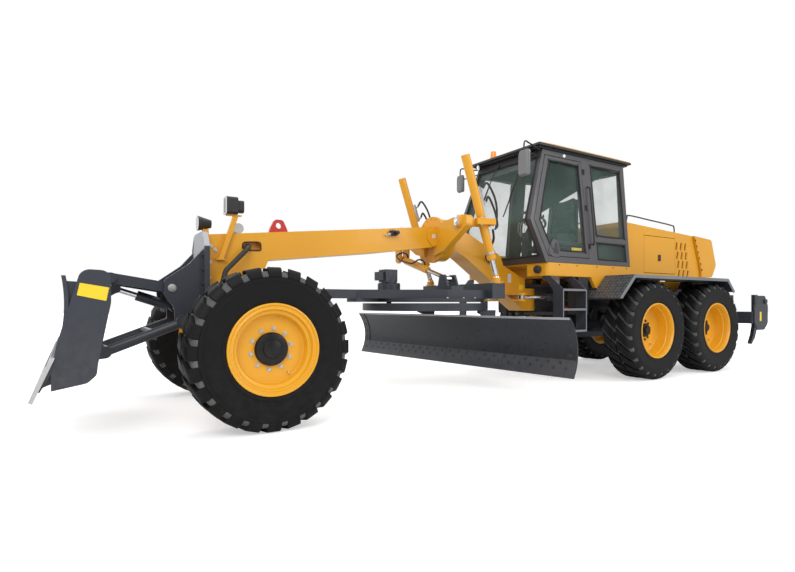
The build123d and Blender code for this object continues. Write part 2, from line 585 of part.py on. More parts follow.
ring_z = (960, 1050)
plate_z = (1065, 1105)
drawbar = block((3360, swivel[0]), (62, 100), (1105, 1195)) + block((3360, swivel[0]), (-100, -62), (1105, 1195))
for y_sign in side.values():
    drawbar += Pos(swivel[0], y_sign * 81, swivel[2]) * Rot(90, 0, 0) * Cylinder(45, 38)
drawbar -= bar((swivel[0], -120, swivel[2]), (swivel[0], 120, swivel[2]), swivel_pin + pin_gap)
drawbar += block((2250, 3370), (-100, 100), (1105, 1205))
for y_sign in side.values():
    drawbar += deck_plate([(x, y_sign * y) for x, y in [(2400, 0), (2400, 100), (1500, 640), (1380, 640), (2150, 60), (2150, 0)]],
                          1105, 1205)
drawbar += Pos(*circle, sum(plate_z) / 2) * (Cylinder(740, plate_z[1] - plate_z[0]) - Cylinder(560, 100))
for y_sign in side.values():
    drawbar += block((720, 1500), tuple(sorted((y_sign * 560, y_sign * 640))), (1105, 1205))
drawbar += block((720, 920), (-740, 740), (1105, 1290))
drawbar += block((1900, 2400), (-130, 130), plate_z)
# circle drive gearbox with its motor
drawbar += Pos(*pinion_at, 1190) * Cylinder(135, 180)
drawbar += Pos(*pinion_at, 1290) * Cylinder(95, 40)
drawbar += block((1840, 2000), (-85, 85), (1300, 1450))
drawbar += block((2000, 2075), (-55, 55), (1320, 1420))
drawbar -= Pos(*pinion_at, 1115) * Cylinder(pinion_shaft + pin_gap, 170)
for y_sign in side.values():
    drawbar += Pos(lift_foot[0], y_sign * lift_foot[1], 1290) * Cylinder(40, 10)
# clevis for the centre-shift cylinder's rod
clevis_gap, clevis_wall = 60, 25
for low in (shift_foot[0] - clevis_gap - clevis_wall, shift_foot[0] + clevis_gap):
    drawbar += cross_plate([(350, 1200), (580, 1200), (500, 1385), (400, 1385)], low, low + clevis_wall)
clevis_reach = clevis_gap + clevis_wall
drawbar += block((shift_foot[0] - clevis_reach, shift_foot[0] + clevis_reach), (350, 640), (1190, 1250))
keep("drawbar", drawbar)


def about_circle(piece):
    """Turns a piece drawn for a square blade to the angle that it stands at."""
    return Pos(*circle, 0) * Rot(0, 0, blade_angle) * piece


gear_room = toothed(ring_pitch, ring_teeth, (ring_pitch - addendum, ring_pitch, ring_pitch + dedendum), -backlash, 0)
ring = Pos(0, 0, sum(ring_z) / 2) * Cylinder(ring_radius[1], ring_z[1] - ring_z[0])
arm_y = (560, 610)
tilt_pin = (-500, 470)
for y_sign in side.values():
    y_pair = tuple(sorted((y_sign * arm_y[0], y_sign * arm_y[1])))
    arm = side_plate([(-360, 965), (-640, 965), (-600, 470), (-500, 400), (-455, 430), (-490, 600), (-490, 880), (-360, 930)], *y_pair)
    arm += Pos(tilt_pin[0], y_sign * 585, tilt_pin[1]) * Rot(90, 0, 0) * Cylinder(65, 50)
    arm -= Pos(tilt_pin[0], y_sign * 585, tilt_pin[1]) * Rot(90, 0, 0) * Cylinder(30 + pin_gap, 80)
    ring += arm
ring = about_circle(ring) - Pos(*circle, 0) * deck_plate(gear_room, ring_z[0] - 10, ring_z[1] + 10)
keep("circle", ring)
tooth_radii = (pinion_pitch - dedendum, pinion_pitch * cos(pressure) + 1, pinion_pitch, pinion_pitch + addendum / 2,
               pinion_pitch + addendum)
pinion = Pos(*pinion_at, 0) * deck_plate(toothed(pinion_pitch, pinion_teeth, tooth_radii, backlash, 0), ring_z[0] + 2, ring_z[1] - 2)
pinion += Pos(*pinion_at, 1095) * Cylinder(pinion_shaft, 190)
keep("circle_drive_pinion", pinion)

# blade tilt frame: two plates joined by a tube, pinned between the circle's arms, whose jaws
# hold the moldboard's two slide rails
rail_back = -412              # rear face of the slide rails
slide_rails = ((430, 470), (760, 800))
jaw = 29                      # height of a jaw's lip
slide_gap = 1
frame_front = rail_back - 8
lip = 16                      # how far a jaw reaches round its rail
tilt_outline = [(-540, 400)]
for low, high in slide_rails:
    tilt_outline += [(frame_front + lip, low - slide_gap - jaw), (frame_front + lip, low - slide_gap), (frame_front, low - slide_gap),
                     (frame_front, high + slide_gap), (frame_front + lip, high + slide_gap),
                     (frame_front + lip, high + slide_gap + jaw), (frame_front - 15, high + slide_gap + jaw)]
tilt_outline += [(-540, 850), (-560, 780), (-570, 480)]
tilt_frame = bar((-510, -500, 620), (-510, 500, 620), 45)
for y_sign in side.values():
    tilt_frame += side_plate(tilt_outline, *sorted((y_sign * 490, y_sign * 550)))
    tilt_frame += bar((tilt_pin[0], y_sign * 500, tilt_pin[1]), (tilt_pin[0], y_sign * 615, tilt_pin[1]), 30)
keep("blade_tilt_frame", about_circle(tilt_frame))

# moldboard: a plate curved on one radius, with a rail above and below on its back
board_foot = (-310, 290)
board_head = (-250, 905)
sagitta = 100
board_wall = 20


def arc_band(foot, head, depth, thickness):
    """A curved strip from foot to head, bulging back by depth."""
    mid = ((foot[0] + head[0]) / 2 - depth, (foot[1] + head[1]) / 2)
    inner = ThreePointArc(foot, mid, head)
    outer = ThreePointArc((foot[0] - thickness, foot[1]), (mid[0] - thickness, mid[1]), (head[0] - thickness, head[1]))
    face = make_face([inner, Line(head, (head[0] - thickness, head[1])), outer, Line((foot[0] - thickness, foot[1]), foot)])
    return face


board_plane = Plane(origin=(0, blade_length / 2, 0), x_dir=(1, 0, 0), z_dir=(0, -1, 0))
moldboard = extrude(board_plane * arc_band(board_foot, board_head, sagitta, board_wall), blade_length)
for z_pair in slide_rails:
    moldboard += block((rail_back, -370), (-1150, 1150), z_pair)
moldboard += block((-380, -340), (-1150, 1150), slide_rails[1])
keep("moldboard", about_circle(moldboard))

# centre-shift cylinder between the saddle and the drawbar
shift_rod_radius = 25
shift_ball_radius = 40
keep("centre_shift_ball", Pos(*shift_base) * Sphere(shift_ball_radius))
shift_barrel = bar(along(shift_base, shift_foot, 46), along(shift_base, shift_foot, 110), 30)
shift_barrel += bar(along(shift_base, shift_foot, 90), along(shift_base, shift_foot, 620), 48)
shift_barrel -= bar(along(shift_base, shift_foot, 120), along(shift_base, shift_foot, 700), shift_rod_radius + pin_gap)
keep("centre_shift_barrel", shift_barrel)
shift_rod = bar((shift_foot[0] - 38, *shift_foot[1:]), (shift_foot[0] + 38, *shift_foot[1:]), 32)
keep("centre_shift_rod", shift_rod + bar(along(shift_foot, shift_base, 10), along(shift_foot, shift_base, 640), shift_rod_radius))

# lift cylinders in their yokes
for name, y_sign in side.items():
    top = (lift_top[0], y_sign * lift_top[1], lift_top[2])
    foot = (lift_foot[0], y_sign * lift_foot[1], lift_foot[2])
    pivot_at = Vector(lift_pivot[0], y_sign * lift_pivot[1], lift_pivot[2])
    yoke_run = Vector(yoke_axis[0], y_sign * yoke_axis[1], 0)
    cross_run = Vector(-yoke_run.Y, yoke_run.X, 0)
    plane = Plane(origin=tuple(pivot_at), x_dir=tuple(yoke_run), z_dir=(0, 0, 1))
    yoke = plane * (Box(236, 236, 70) - Box(180, 180, 80))
    yoke += bar(tuple(pivot_at + yoke_run * 110), tuple(pivot_at + yoke_run * 320), trunnion_radius)
    yoke -= bar(tuple(pivot_at - cross_run * 130), tuple(pivot_at + cross_run * 130), 25 + pin_gap)
    keep(name + "_lift_yoke", yoke)
    rod_start = along(foot, top, 35)
    barrel_low = along(foot, top, 235)
    tube = bar(barrel_low, top, 52)
    tube += bar(tuple(pivot_at - cross_run * 118), tuple(pivot_at + cross_run * 118), 25)
    tube -= bar(along(foot, top, 200), along(top, foot, 40), 33 + pin_gap)
    keep(name + "_lift_barrel", tube)
    cup = Pos(foot[0], foot[1], foot[2]) * Sphere(40)
    keep(name + "_lift_rod", cup + bar(rod_start, along(foot, top, 900), 33))

# ---------------------------------------------------------------- dozer blade and linkage
dozer_pin_low = (4860, 640)
dozer_pin_high = (4810, 1270)
dozer_ram_foot = (4760, 1180)
def bored(piece, x, z, radius):
    """A hole along Y right through a piece."""
    return piece - bar((x, -1500, z), (x, 1500, z), radius + pin_gap)


def eye(x, z, low_y, high_y, radius):
    return bar((x, low_y, z), (x, high_y, z), radius)


arm_tube = 43
dozer_arms = bar((4500, -dozer_arm_y, 780), (4500, dozer_arm_y, 780), 40)
for y_sign in side.values():
    y_pair = pair(y_sign, dozer_arm_y - dozer_arm_half, dozer_arm_y + dozer_arm_half)
    dozer_arms += bar((dozer_low[0], y_sign * dozer_arm_y, dozer_low[1]),
                      (dozer_pin_low[0], y_sign * dozer_arm_y, dozer_pin_low[1]), arm_tube)
    dozer_arms += eye(*dozer_low, *y_pair, 65) + eye(*dozer_pin_low, *y_pair, 52)
dozer_arms = bored(bored(dozer_arms, *dozer_low, 40), *dozer_pin_low, dozer_pin)
keep("dozer_arms", dozer_arms)

link_half, link_wall = 217, 40
dozer_link = side_plate([(4400, 1228), (4740, 1285), (4740, 1303), (4400, 1246)], -link_half + 10, link_half - 10)
for y_sign in side.values():
    y_pair = sorted((y_sign * (link_half - link_wall), y_sign * link_half))
    dozer_link += side_plate([(4330, 1145), (4810, 1225), (4810, 1315), (4330, 1235)], *y_pair)
    dozer_link += eye(*dozer_high, *y_pair, 45) + eye(*dozer_pin_high, *y_pair, 45)
keep("dozer_link", bored(dozer_link, *dozer_high, dozer_pin))

# blade: curved board between two end plates, a cutting edge, and lugs on its back
dozer_half = 1300
dozer_side = [(5040, 1282, 70), (4868, 1275, 60), (4863, 1058, 200), (4940, 638), (4948, 560, 50), (5003, 509, 60),
              (5205, 472), (5205, 600), (5174, 781), (5062, 1198)]
dozer_rib = [(4960, 1190), (4960, 640), (5100, 560), (5268, 490), (5179, 700), (5140, 850), (5123, 1000), (5134, 1200)]
dozer_edge = [(5183, 690), (5207, 700), (5325, 412), (5303, 400)]
dozer_plane = Plane(origin=(0, dozer_half, 0), x_dir=(1, 0, 0), z_dir=(0, -1, 0))
dozer_blade = extrude(dozer_plane * arc_band((5290, 470), (5150, 1235), 70, 25), 2 * dozer_half)
dozer_blade += side_plate(dozer_edge, -1325, 1325)
lug_wall = 25
low_lug = [(4860, 588), (4810, 640), (4860, 692), (5135, 860), (5175, 700), (5230, 560)]
high_lug = [(4810, 1225), (4810, 1315), (4880, 1315), (5130, 1190), (5120, 1000)]
ram_lug = [(4760, 1140), (4760, 1220), (5125, 1130), (5125, 900)]
for y_sign in side.values():
    dozer_blade += side_plate(dozer_side, *pair(y_sign, dozer_half - 25, dozer_half))
    dozer_blade += side_plate(dozer_rib, *pair(y_sign, dozer_half - 50, dozer_half - 24))
    for y in (dozer_arm_y - dozer_arm_half - 5 - lug_wall, dozer_arm_y + dozer_arm_half + 5):
        dozer_blade += side_plate(low_lug, *sorted((y_sign * y, y_sign * (y + lug_wall))))
        dozer_blade += eye(*dozer_pin_low, *sorted((y_sign * y, y_sign * (y + lug_wall))), 52)
    dozer_blade += eye(*dozer_pin_low, y_sign * 255, y_sign * 385, dozer_pin)
    dozer_blade += side_plate(high_lug, *pair(y_sign, link_half + 10, link_half + 35))
    dozer_blade += eye(*dozer_pin_high, y_sign * (link_half + 10), y_sign * (link_half + 35), 45)
    dozer_blade += side_plate(ram_lug, *sorted((y_sign * 38, y_sign * 63)))
    dozer_blade += eye(*dozer_ram_foot, y_sign * 38, y_sign * 63, 40)
keep("dozer_blade", dozer_blade)


def ram(name, base, foot, base_pin, tube_radius, rod_radius, tube_end, rod_start):
    """A cylinder in the plane y = 0 between two (x, z) points, as a barrel node and a rod node."""
    start, end = (base[0], 0, base[1]), (foot[0], 0, foot[1])
    barrel = eye(*base, -30, 30, 45) + bar(start, along(start, end, 90), 28)
    barrel += bar(along(start, end, 55), along(start, end, tube_end), tube_radius)
    barrel -= bar(along(start, end, 62), along(start, end, tube_end + 10), rod_radius + pin_gap)
    keep(name + "_barrel", bored(barrel, *base, base_pin))
    keep(name + "_rod", eye(*foot, -30, 30, 38) + bar(along(start, end, rod_start), end, rod_radius))


ram("dozer_ram", dozer_ram, dozer_ram_foot, dozer_pin, 46, 24, 340, 150)

# ---------------------------------------------------------------- ripper
beam_x, beam_z, beam_half = (-4960, -4640), (700, 900), 1060
ripper_ram_foot = (-4880, 1010)
shank_ys = (-840, -420, 0, 420, 840)
shank = [(-5170, 1200), (-5280, 1200), (-5280, 640), (-5180, 430), (-5060, 320), (-5030, 345), (-5110, 470), (-5170, 640)]
carriage = block(beam_x, (-beam_half, beam_half), beam_z)
for y_sign in side.values():
    y_pair = sorted((y_sign * ripper_arm_y[0], y_sign * ripper_arm_y[1]))
    carriage += side_plate([(ripper_pin[0], 848), (ripper_pin[0], 952), (-4700, 895), (-4700, 705)], *y_pair)
    carriage += eye(*ripper_pin, *y_pair, 52)
    carriage += side_plate([(-4960, 890), (-4820, 890), (-4850, 1010), (-4910, 1010)], *sorted((y_sign * 38, y_sign * 63)))
    carriage += eye(*ripper_ram_foot, y_sign * 38, y_sign * 63, 40)
ripper_end = [(-4690, 940, 40), (-4830, 1179, 60), (-5060, 1179, 60), (-5169, 1000, 60), (-5169, 700, 60),
              (-5040, 585, 50), (-4800, 585, 50), (-4690, 740, 40)]
for y_sign in side.values():
    carriage += side_plate(ripper_end, *pair(y_sign, beam_half, beam_half + 25))
    carriage += bar((-5060, y_sign * beam_half, 1080), (-5060, y_sign * (beam_half + 50), 1080), 40)
for y in shank_ys:
    carriage += block((-5290, beam_x[0] + 10), (y - 60, y + 60), (715, 885))
    carriage += side_plate(shank, y - 30, y + 30)
keep("ripper_carriage", bored(carriage, *ripper_pin, 30))
ram("ripper_ram", ripper_ram_base, ripper_ram_foot, 25, 46, 24, 400, 200)

os.makedirs("parts", exist_ok=True)
for name, pieces in nodes.items():
    solids = [solid for piece in pieces for solid in piece.solids()]
    whole = solids[0] if len(solids) == 1 else Compound(solids)
    export_step(whole, "parts/" + name + ".step")
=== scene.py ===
import json
import math

import bmesh
import bpy
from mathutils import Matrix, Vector

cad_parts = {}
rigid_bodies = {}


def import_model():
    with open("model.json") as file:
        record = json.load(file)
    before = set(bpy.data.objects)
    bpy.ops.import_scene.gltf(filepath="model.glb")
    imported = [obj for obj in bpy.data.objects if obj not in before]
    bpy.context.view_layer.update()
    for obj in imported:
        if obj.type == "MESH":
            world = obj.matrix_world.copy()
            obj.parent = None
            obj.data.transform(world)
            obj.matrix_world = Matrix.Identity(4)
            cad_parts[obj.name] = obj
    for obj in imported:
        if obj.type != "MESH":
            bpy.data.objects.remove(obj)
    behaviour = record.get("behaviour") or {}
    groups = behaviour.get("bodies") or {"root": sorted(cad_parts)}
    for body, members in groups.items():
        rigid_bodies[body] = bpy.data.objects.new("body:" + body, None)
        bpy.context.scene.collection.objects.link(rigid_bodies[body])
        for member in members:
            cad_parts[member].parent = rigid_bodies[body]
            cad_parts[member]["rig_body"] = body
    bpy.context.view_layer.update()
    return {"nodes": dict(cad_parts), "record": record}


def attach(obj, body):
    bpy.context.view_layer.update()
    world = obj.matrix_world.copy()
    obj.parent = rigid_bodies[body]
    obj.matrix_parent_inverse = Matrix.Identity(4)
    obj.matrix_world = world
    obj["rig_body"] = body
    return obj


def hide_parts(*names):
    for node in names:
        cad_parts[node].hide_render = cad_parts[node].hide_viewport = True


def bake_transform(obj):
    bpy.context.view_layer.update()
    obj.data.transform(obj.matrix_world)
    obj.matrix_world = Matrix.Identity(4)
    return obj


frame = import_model()

# ---------------------------------------------------------------- studio
# A pale seamless floor that fades to white under large soft lamps, seen from low in front of the left
# front wheel.
scene = bpy.context.scene
scene.view_settings.view_transform = "Standard"
camera = bpy.data.objects.new("camera", bpy.data.cameras.new("camera"))
scene.collection.objects.link(camera)
scene.camera = camera
camera.location = (5.091, 5.507, 1.051)
camera.rotation_euler = (math.radians(90), 0, math.radians(146.71))
camera.data.lens = 23.96
camera.data.shift_x, camera.data.shift_y = -0.0272, 0.0215


def lamp(name, place, target, size, power):
    light = bpy.data.lights.new(name, "AREA")
    light.energy, light.size = power, size
    holder = bpy.data.objects.new(name, light)
    holder.location = place
    holder.rotation_euler = (Vector(target) - Vector(place)).to_track_quat("-Z", "Y").to_euler()
    scene.collection.objects.link(holder)


lamp("key_lamp", (9, 9, 9), (1, 0, 1), 7, 780)
lamp("side_lamp", (-6, 10, 6), (-2, 0, 1), 6, 430)
lamp("front_lamp", (13, -3, 4), (4, 0, 1), 5, 260)
lamp("top_lamp", (0, 0, 12), (0, 0, 0), 9, 420)
lamp("right_lamp", (1, -11, 6), (0, 0, 1), 7, 330)


def node(tree, kind, inputs=(), **settings):
    """Adds a shader or geometry node; inputs maps socket names to values or to other nodes' outputs."""
    made = tree.nodes.new(kind)
    for key, value in settings.items():
        setattr(made, key, value)
    for key, value in dict(inputs).items():
        if isinstance(value, bpy.types.NodeSocket):
            tree.links.new(value, made.inputs[key])
        else:
            made.inputs[key].default_value = value
    return made


def worked(tree, operation, *values):
    """Works a sum on numbers or on other nodes' outputs."""
    return node(tree, "ShaderNodeMath", enumerate(values), operation=operation).outputs[0]


def ranged(tree, value, from_low, from_high, to_low=0.0, to_high=1.0):
    """Moves a value from one range to another."""
    return node(tree, "ShaderNodeMapRange", {"Value": value, "From Min": from_low, "From Max": from_high,
                                             "To Min": to_low, "To Max": to_high}).outputs[0]


def new_material(name):
    """A material with an empty node tree."""
    made = bpy.data.materials.new(name)
    made.use_nodes = True
    made.node_tree.nodes.clear()
    return made, made.node_tree


scene.world = bpy.data.worlds.new("studio_world")
scene.world.use_nodes = True
sky = scene.world.node_tree
sky.nodes.clear()
sky_path = node(sky, "ShaderNodeLightPath").outputs
backdrop = worked(sky, "MAXIMUM", sky_path["Is Camera Ray"], sky_path["Is Transmission Ray"])
glow = node(sky, "ShaderNodeBackground", {
    "Color": (1, 1, 1, 1), "Strength": ranged(sky, backdrop, 0, 1, 0.62, 1)})
node(sky, "ShaderNodeOutputWorld", {"Surface": glow.outputs[0]})

floor_half = 60
floor_mesh = bpy.data.meshes.new("studio_floor")
floor_corners = [(floor_half * x, floor_half * y, 0) for x, y in ((-1, -1), (1, -1), (1, 1), (-1, 1))]
floor_mesh.from_pydata(floor_corners, [], [(0, 1, 2, 3)])
studio_floor = bpy.data.objects.new("studio_floor", floor_mesh)
scene.collection.objects.link(studio_floor)
floor_paint, floor_tree = new_material("studio_floor")
floor_place = node(floor_tree, "ShaderNodeTexCoord").outputs["Object"]
floor_reach = node(floor_tree, "ShaderNodeVectorMath", {0: floor_place},
                   operation="LENGTH").outputs["Value"]
far_white = ranged(floor_tree, floor_reach, 6, 16, 0.45, 1.1)
floor_seen = node(floor_tree, "ShaderNodeLightPath").outputs["Is Camera Ray"]
matt = node(floor_tree, "ShaderNodeBsdfDiffuse", {"Color": (0.82, 0.82, 0.82, 1)})
lift = node(floor_tree, "ShaderNodeEmission", {
    "Color": (1, 1, 1, 1), "Strength": worked(floor_tree, "MULTIPLY", floor_seen, far_white)})
floor_sum = node(floor_tree, "ShaderNodeAddShader", {0: matt.outputs[0], 1: lift.outputs[0]})
node(floor_tree, "ShaderNodeOutputMaterial", {"Surface": floor_sum.outputs[0]})
floor_mesh.materials.append(floor_paint)

# ---------------------------------------------------------------- front frame
# Welded box beam from the nose over the circle to the hinge, sprayed with satin yellow paint; it carries
# oval hose ports, a lifting eye, a weld pad beside the saddle and small blank plates.


def shader_group(name, inputs):
    """A shader node group that gives a surface's colour, roughness and height."""
    tree = bpy.data.node_groups.new(name, "ShaderNodeTree")
    for label, kind, value in inputs:
        socket = tree.interface.new_socket(label, in_out="INPUT", socket_type="NodeSocket" + kind)
        socket.default_value = value
    for label, kind in (("Colour", "Color"), ("Roughness", "Float"), ("Height", "Float")):
        tree.interface.new_socket(label, in_out="OUTPUT", socket_type="NodeSocket" + kind)
    return tree, tree.nodes.new("NodeGroupInput").outputs


def noise(tree, place, scale, detail):
    return node(tree, "ShaderNodeTexNoise", {"Vector": place, "Scale": scale, "Detail": detail}).outputs[0]


def mixed(tree, factor, first, second):
    return node(tree, "ShaderNodeMix", {"Factor": factor, "A": first, "B": second},
                data_type="RGBA").outputs["Result"]


def group_result(tree, colour, roughness, height):
    result = tree.nodes.new("NodeGroupOutput").inputs
    for label, source in (("Colour", colour), ("Roughness", roughness), ("Height", height)):
        tree.links.new(source, result[label])


film, film_in = shader_group("paint_film", [
    ("Colour", "Color", (0.8, 0.5, 0.1, 1)), ("Shade", "Color", (0.6, 0.3, 0.05, 1)),
    ("Dust Colour", "Color", (0.4, 0.36, 0.3, 1)), ("Dust", "Float", 0.2), ("Base Roughness", "Float", 0.4),
    ("Peel", "Float", 0.3)])
film_place = node(film, "ShaderNodeTexCoord").outputs["Object"]
fine = noise(film, film_place, 17, 5)
peel = noise(film, film_place, 420, 1)
tone = ranged(film, noise(film, film_place, 1.1, 3), 0.35, 0.7, 0, 0.5)
tinted = mixed(film, tone, film_in["Colour"], film_in["Shade"])
film_normal = node(film, "ShaderNodeNewGeometry").outputs["Normal"]
upward = ranged(film, node(film, "ShaderNodeSeparateXYZ", {0: film_normal}).outputs["Z"], 0.5, 1)
splash = ranged(film, node(film, "ShaderNodeSeparateXYZ", {0: film_place}).outputs["Z"], 1.1, 0.1)
settled = worked(film, "MULTIPLY", worked(film, "MAXIMUM", upward, splash), ranged(film, fine, 0.38, 0.75))
dusty = worked(film, "MULTIPLY", settled, film_in["Dust"])
rough = worked(film, "ADD", film_in["Base Roughness"], ranged(film, fine, 0, 1, -0.07, 0.07))
group_result(film, mixed(film, dusty, tinted, film_in["Dust Colour"]),
             worked(film, "MULTIPLY_ADD", dusty, 0.5, rough),
             worked(film, "MULTIPLY", peel, film_in["Peel"]))


def finish(name, group, values, bump=0.0005, **plain):
    """A material whose look comes from a shared group; plain numbers go straight on the shader."""
    made, tree = new_material(name)
    detail = node(tree, "ShaderNodeGroup", node_tree=group)
    for label, value in values.items():
        detail.inputs[label].default_value = value
    colour, roughness, height = detail.outputs
    relief = node(tree, "ShaderNodeBump", {"Height": height, "Distance": bump, "Strength": 1.0})
    surface = node(tree, "ShaderNodeBsdfPrincipled", {
        "Base Color": colour, "Roughness": roughness, "Normal": relief.outputs[0]})
    for label, value in plain.items():
        surface.inputs[label.replace("_", " ").title().replace("Ior", "IOR")].default_value = value
    node(tree, "ShaderNodeOutputMaterial", {"Surface": surface.outputs[0]})
    return made


def paint(name, colour, shade, roughness=0.42, dust=0.15, peel=0.35, **plain):
    return finish(name, film, {"Colour": (*colour, 1), "Shade": (*shade, 1), "Base Roughness": roughness,
                               "Dust": dust, "Peel": peel}, **plain)


yellow = paint("yellow_paint", (0.72, 0.335, 0.012), (0.64, 0.285, 0.01), 0.36, 0.06, coat_weight=0.12)
dark = paint("dark_paint", (0.03, 0.035, 0.046), (0.023, 0.027, 0.036), 0.4, 0.1)
red = paint("red_paint", (0.5, 0.025, 0.02), (0.42, 0.02, 0.016), 0.4, 0.12)
zinc = paint("zinc_bolts", (0.6, 0.6, 0.6), (0.45, 0.45, 0.46), 0.35, 0.1, metallic=0.9)
black = paint("black_plastic", (0.018, 0.018, 0.02), (0.012, 0.012, 0.013), 0.5, 0.12)
white_plate = paint("blank_plate", (0.62, 0.63, 0.62), (0.55, 0.56, 0.55), 0.4, 0.2)
yellow_plate = paint("blank_sign", (0.85, 0.6, 0.02), (0.8, 0.55, 0.02), 0.4, 0.15)
ahead, across, upright = (1, 0, 0), (0, 1, 0), (0, 0, 1)
both_sides = (("left", 1), ("right", -1))
sharp_edge = math.radians(28)


def finished_mesh(name, form, pick=None, sharp=sharp_edge):
    """Turns a form into a mesh with its sharp edges marked; pick gives the number of a face's material."""
    for face in form.faces:
        face.smooth = True
        face.material_index = pick(face.calc_center_median(), face.normal) if pick else 0
    for edge in form.edges:
        edge.smooth = len(edge.link_faces) == 2 and edge.calc_face_angle() < sharp
    mesh = bpy.data.meshes.new(name)
    form.to_mesh(mesh)
    form.free()
    return mesh


def piece(name, mesh, body, *materials, stands_for=(), slot=None, bevel=0.0):
    made = bpy.data.objects.new(name, mesh)
    scene.collection.objects.link(made)
    for material in materials:
        mesh.materials.append(material)
    if bevel:
        edge_round = made.modifiers.new("edge_round", "BEVEL")
        edge_round.width, edge_round.segments = bevel, 2
        edge_round.limit_method, edge_round.angle_limit = "ANGLE", sharp_edge
        edge_round.harden_normals = True
    if body:
        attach(made, body)
    if stands_for:
        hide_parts(*stands_for)
    return made


def dressed(names, *materials, bevel=0.004, pick=None, cuts=()):
    """Stands for CAD nodes: their own shapes with rounded edges and finishes; each cut, a height, is where
    one finish ends and the next begins."""
    for name in names.split():
        source = frame["nodes"][name]
        form = bmesh.new()
        form.from_mesh(source.data)
        bmesh.ops.remove_doubles(form, verts=form.verts, dist=1e-5)
        bmesh.ops.dissolve_limit(form, angle_limit=math.radians(0.5), verts=form.verts, edges=form.edges)
        for height in cuts:
            bmesh.ops.bisect_plane(form, geom=form.verts[:] + form.edges[:] + form.faces[:],
                                   plane_co=(0, 0, height), plane_no=upright)
        slot = next(row["material_slot"] for row in frame["record"]["subparts"] if row["node"] == name)
        piece(name + "_finished", finished_mesh(name + "_finished", form, pick), source["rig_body"],
              *materials, stands_for=(name,), slot=slot, bevel=bevel)


def shaped(name, build, body, *materials, pick=None, **options):
    """Makes a piece: build adds its forms to a bmesh."""
    form = bmesh.new()
    build(form)
    bmesh.ops.recalc_face_normals(form, faces=form.faces)
    return piece(name, finished_mesh(name, form, pick), body, *materials, **options)


def joined_loops(form, front, back):
    """Adds a closed form between two loops with the same number of corners."""
    loops = [[form.verts.new(corner) for corner in loop] for loop in (front, back)]
    form.faces.new(loops[0])
    form.faces.new(loops[1][::-1])
    for i in range(len(front)):
        j = (i + 1) % len(front)
        form.faces.new((loops[0][i], loops[0][j], loops[1][j], loops[1][i]))


lays = {"side": lambda a, b, depth: (a, depth, b), "deck": lambda a, b, depth: (a, b, depth),
        "cross": lambda a, b, depth: (depth, a, b)}


def prism(form, points, low, high, lay="side"):
    """Adds a flat-sided form: an outline in one plane, thick across it."""
    joined_loops(form, *([lays[lay](a, b, depth) for a, b in points] for depth in (low, high)))


def oblong(low, high):
    return [(low[0], low[1]), (high[0], low[1]), (high[0], high[1]), (low[0], high[1])]


def box_form(form, low, high):
    prism(form, oblong(low, high), low[2], high[2], "deck")


def turned(form, profile, origin, axis, sides=48):
    """Adds a form turned about an axis from a closed outline of (radius, distance along the axis)."""
    facing = Vector(axis).to_track_quat("Z", "Y").to_matrix()
    rings = []
    for radius, along in profile:
        turns = [2 * math.pi * i / sides for i in range(sides if radius else 1)]
        rings.append([form.verts.new(Vector(origin) + facing @ Vector((
            radius * math.cos(turn), radius * math.sin(turn), along))) for turn in turns])
    for ring, following in zip(rings, rings[1:] + rings[:1]):
        if len(ring) == len(following) == 1:
            continue
        for i in range(sides):
            j = (i + 1) % sides
            corners = (ring[i % len(ring)], ring[j % len(ring)], following[j % len(following)],
                       following[i % len(following)])
            form.faces.new(list(dict.fromkeys(corners)))


def tube(form, points, radius, sides=10, steps=5):
    """Adds a round tube on a smooth curve through the points, closed at both ends."""
    knots = [Vector(point) for point in points]
    knots = [2 * knots[0] - knots[1], *knots, 2 * knots[-1] - knots[-2]]
    line = []
    for a, b, c, d in zip(knots, knots[1:], knots[2:], knots[3:]):
        for step in range(steps):
            t = step / steps
            line.append(0.5 * (2 * b + (c - a) * t + (2 * a - 5 * b + 4 * c - d) * t * t
                               + (3 * b - a - 3 * c + d) * t ** 3))
    line.append(knots[-2])
    rings = []
    side_run = (line[1] - line[0]).orthogonal().normalized()
    for i, point in enumerate(line):
        run = (line[min(i + 1, len(line) - 1)] - line[max(i - 1, 0)]).normalized()
        side_run = (side_run - run * side_run.dot(run)).normalized()
        up_run = run.cross(side_run)
        turns = [2 * math.pi * k / sides for k in range(sides)]
        rings.append([form.verts.new(point + radius * (math.cos(turn) * side_run + math.sin(turn) * up_run))
                      for turn in turns])
    for ring, following in zip(rings, rings[1:]):
        for k in range(sides):
            form.faces.new((ring[k], ring[(k + 1) % sides], following[(k + 1) % sides], following[k]))
    form.faces.new(rings[0][::-1])
    form.faces.new(rings[-1])


def turning(name, body, material, profile, origin, axis, sides=48):
    """A piece turned on a lathe."""
    return shaped(name, lambda form: turned(form, profile, origin, axis, sides), body, material)


def bent(name, body, material, points, radius):
    """A piece of round bar, tube or hose, bent through the points."""
    return shaped(name, lambda form: tube(form, points, radius), body, material)


def side_plate(name, body, material, outline, y_sign, inner, outer, bevel=0.0):
    """A plate cut to an outline of (x, z), between two distances from the middle of the machine."""
    low, high = sorted((y_sign * inner, y_sign * outer))
    return shaped(name, lambda form: prism(form, outline, low, high), body, material, bevel=bevel)


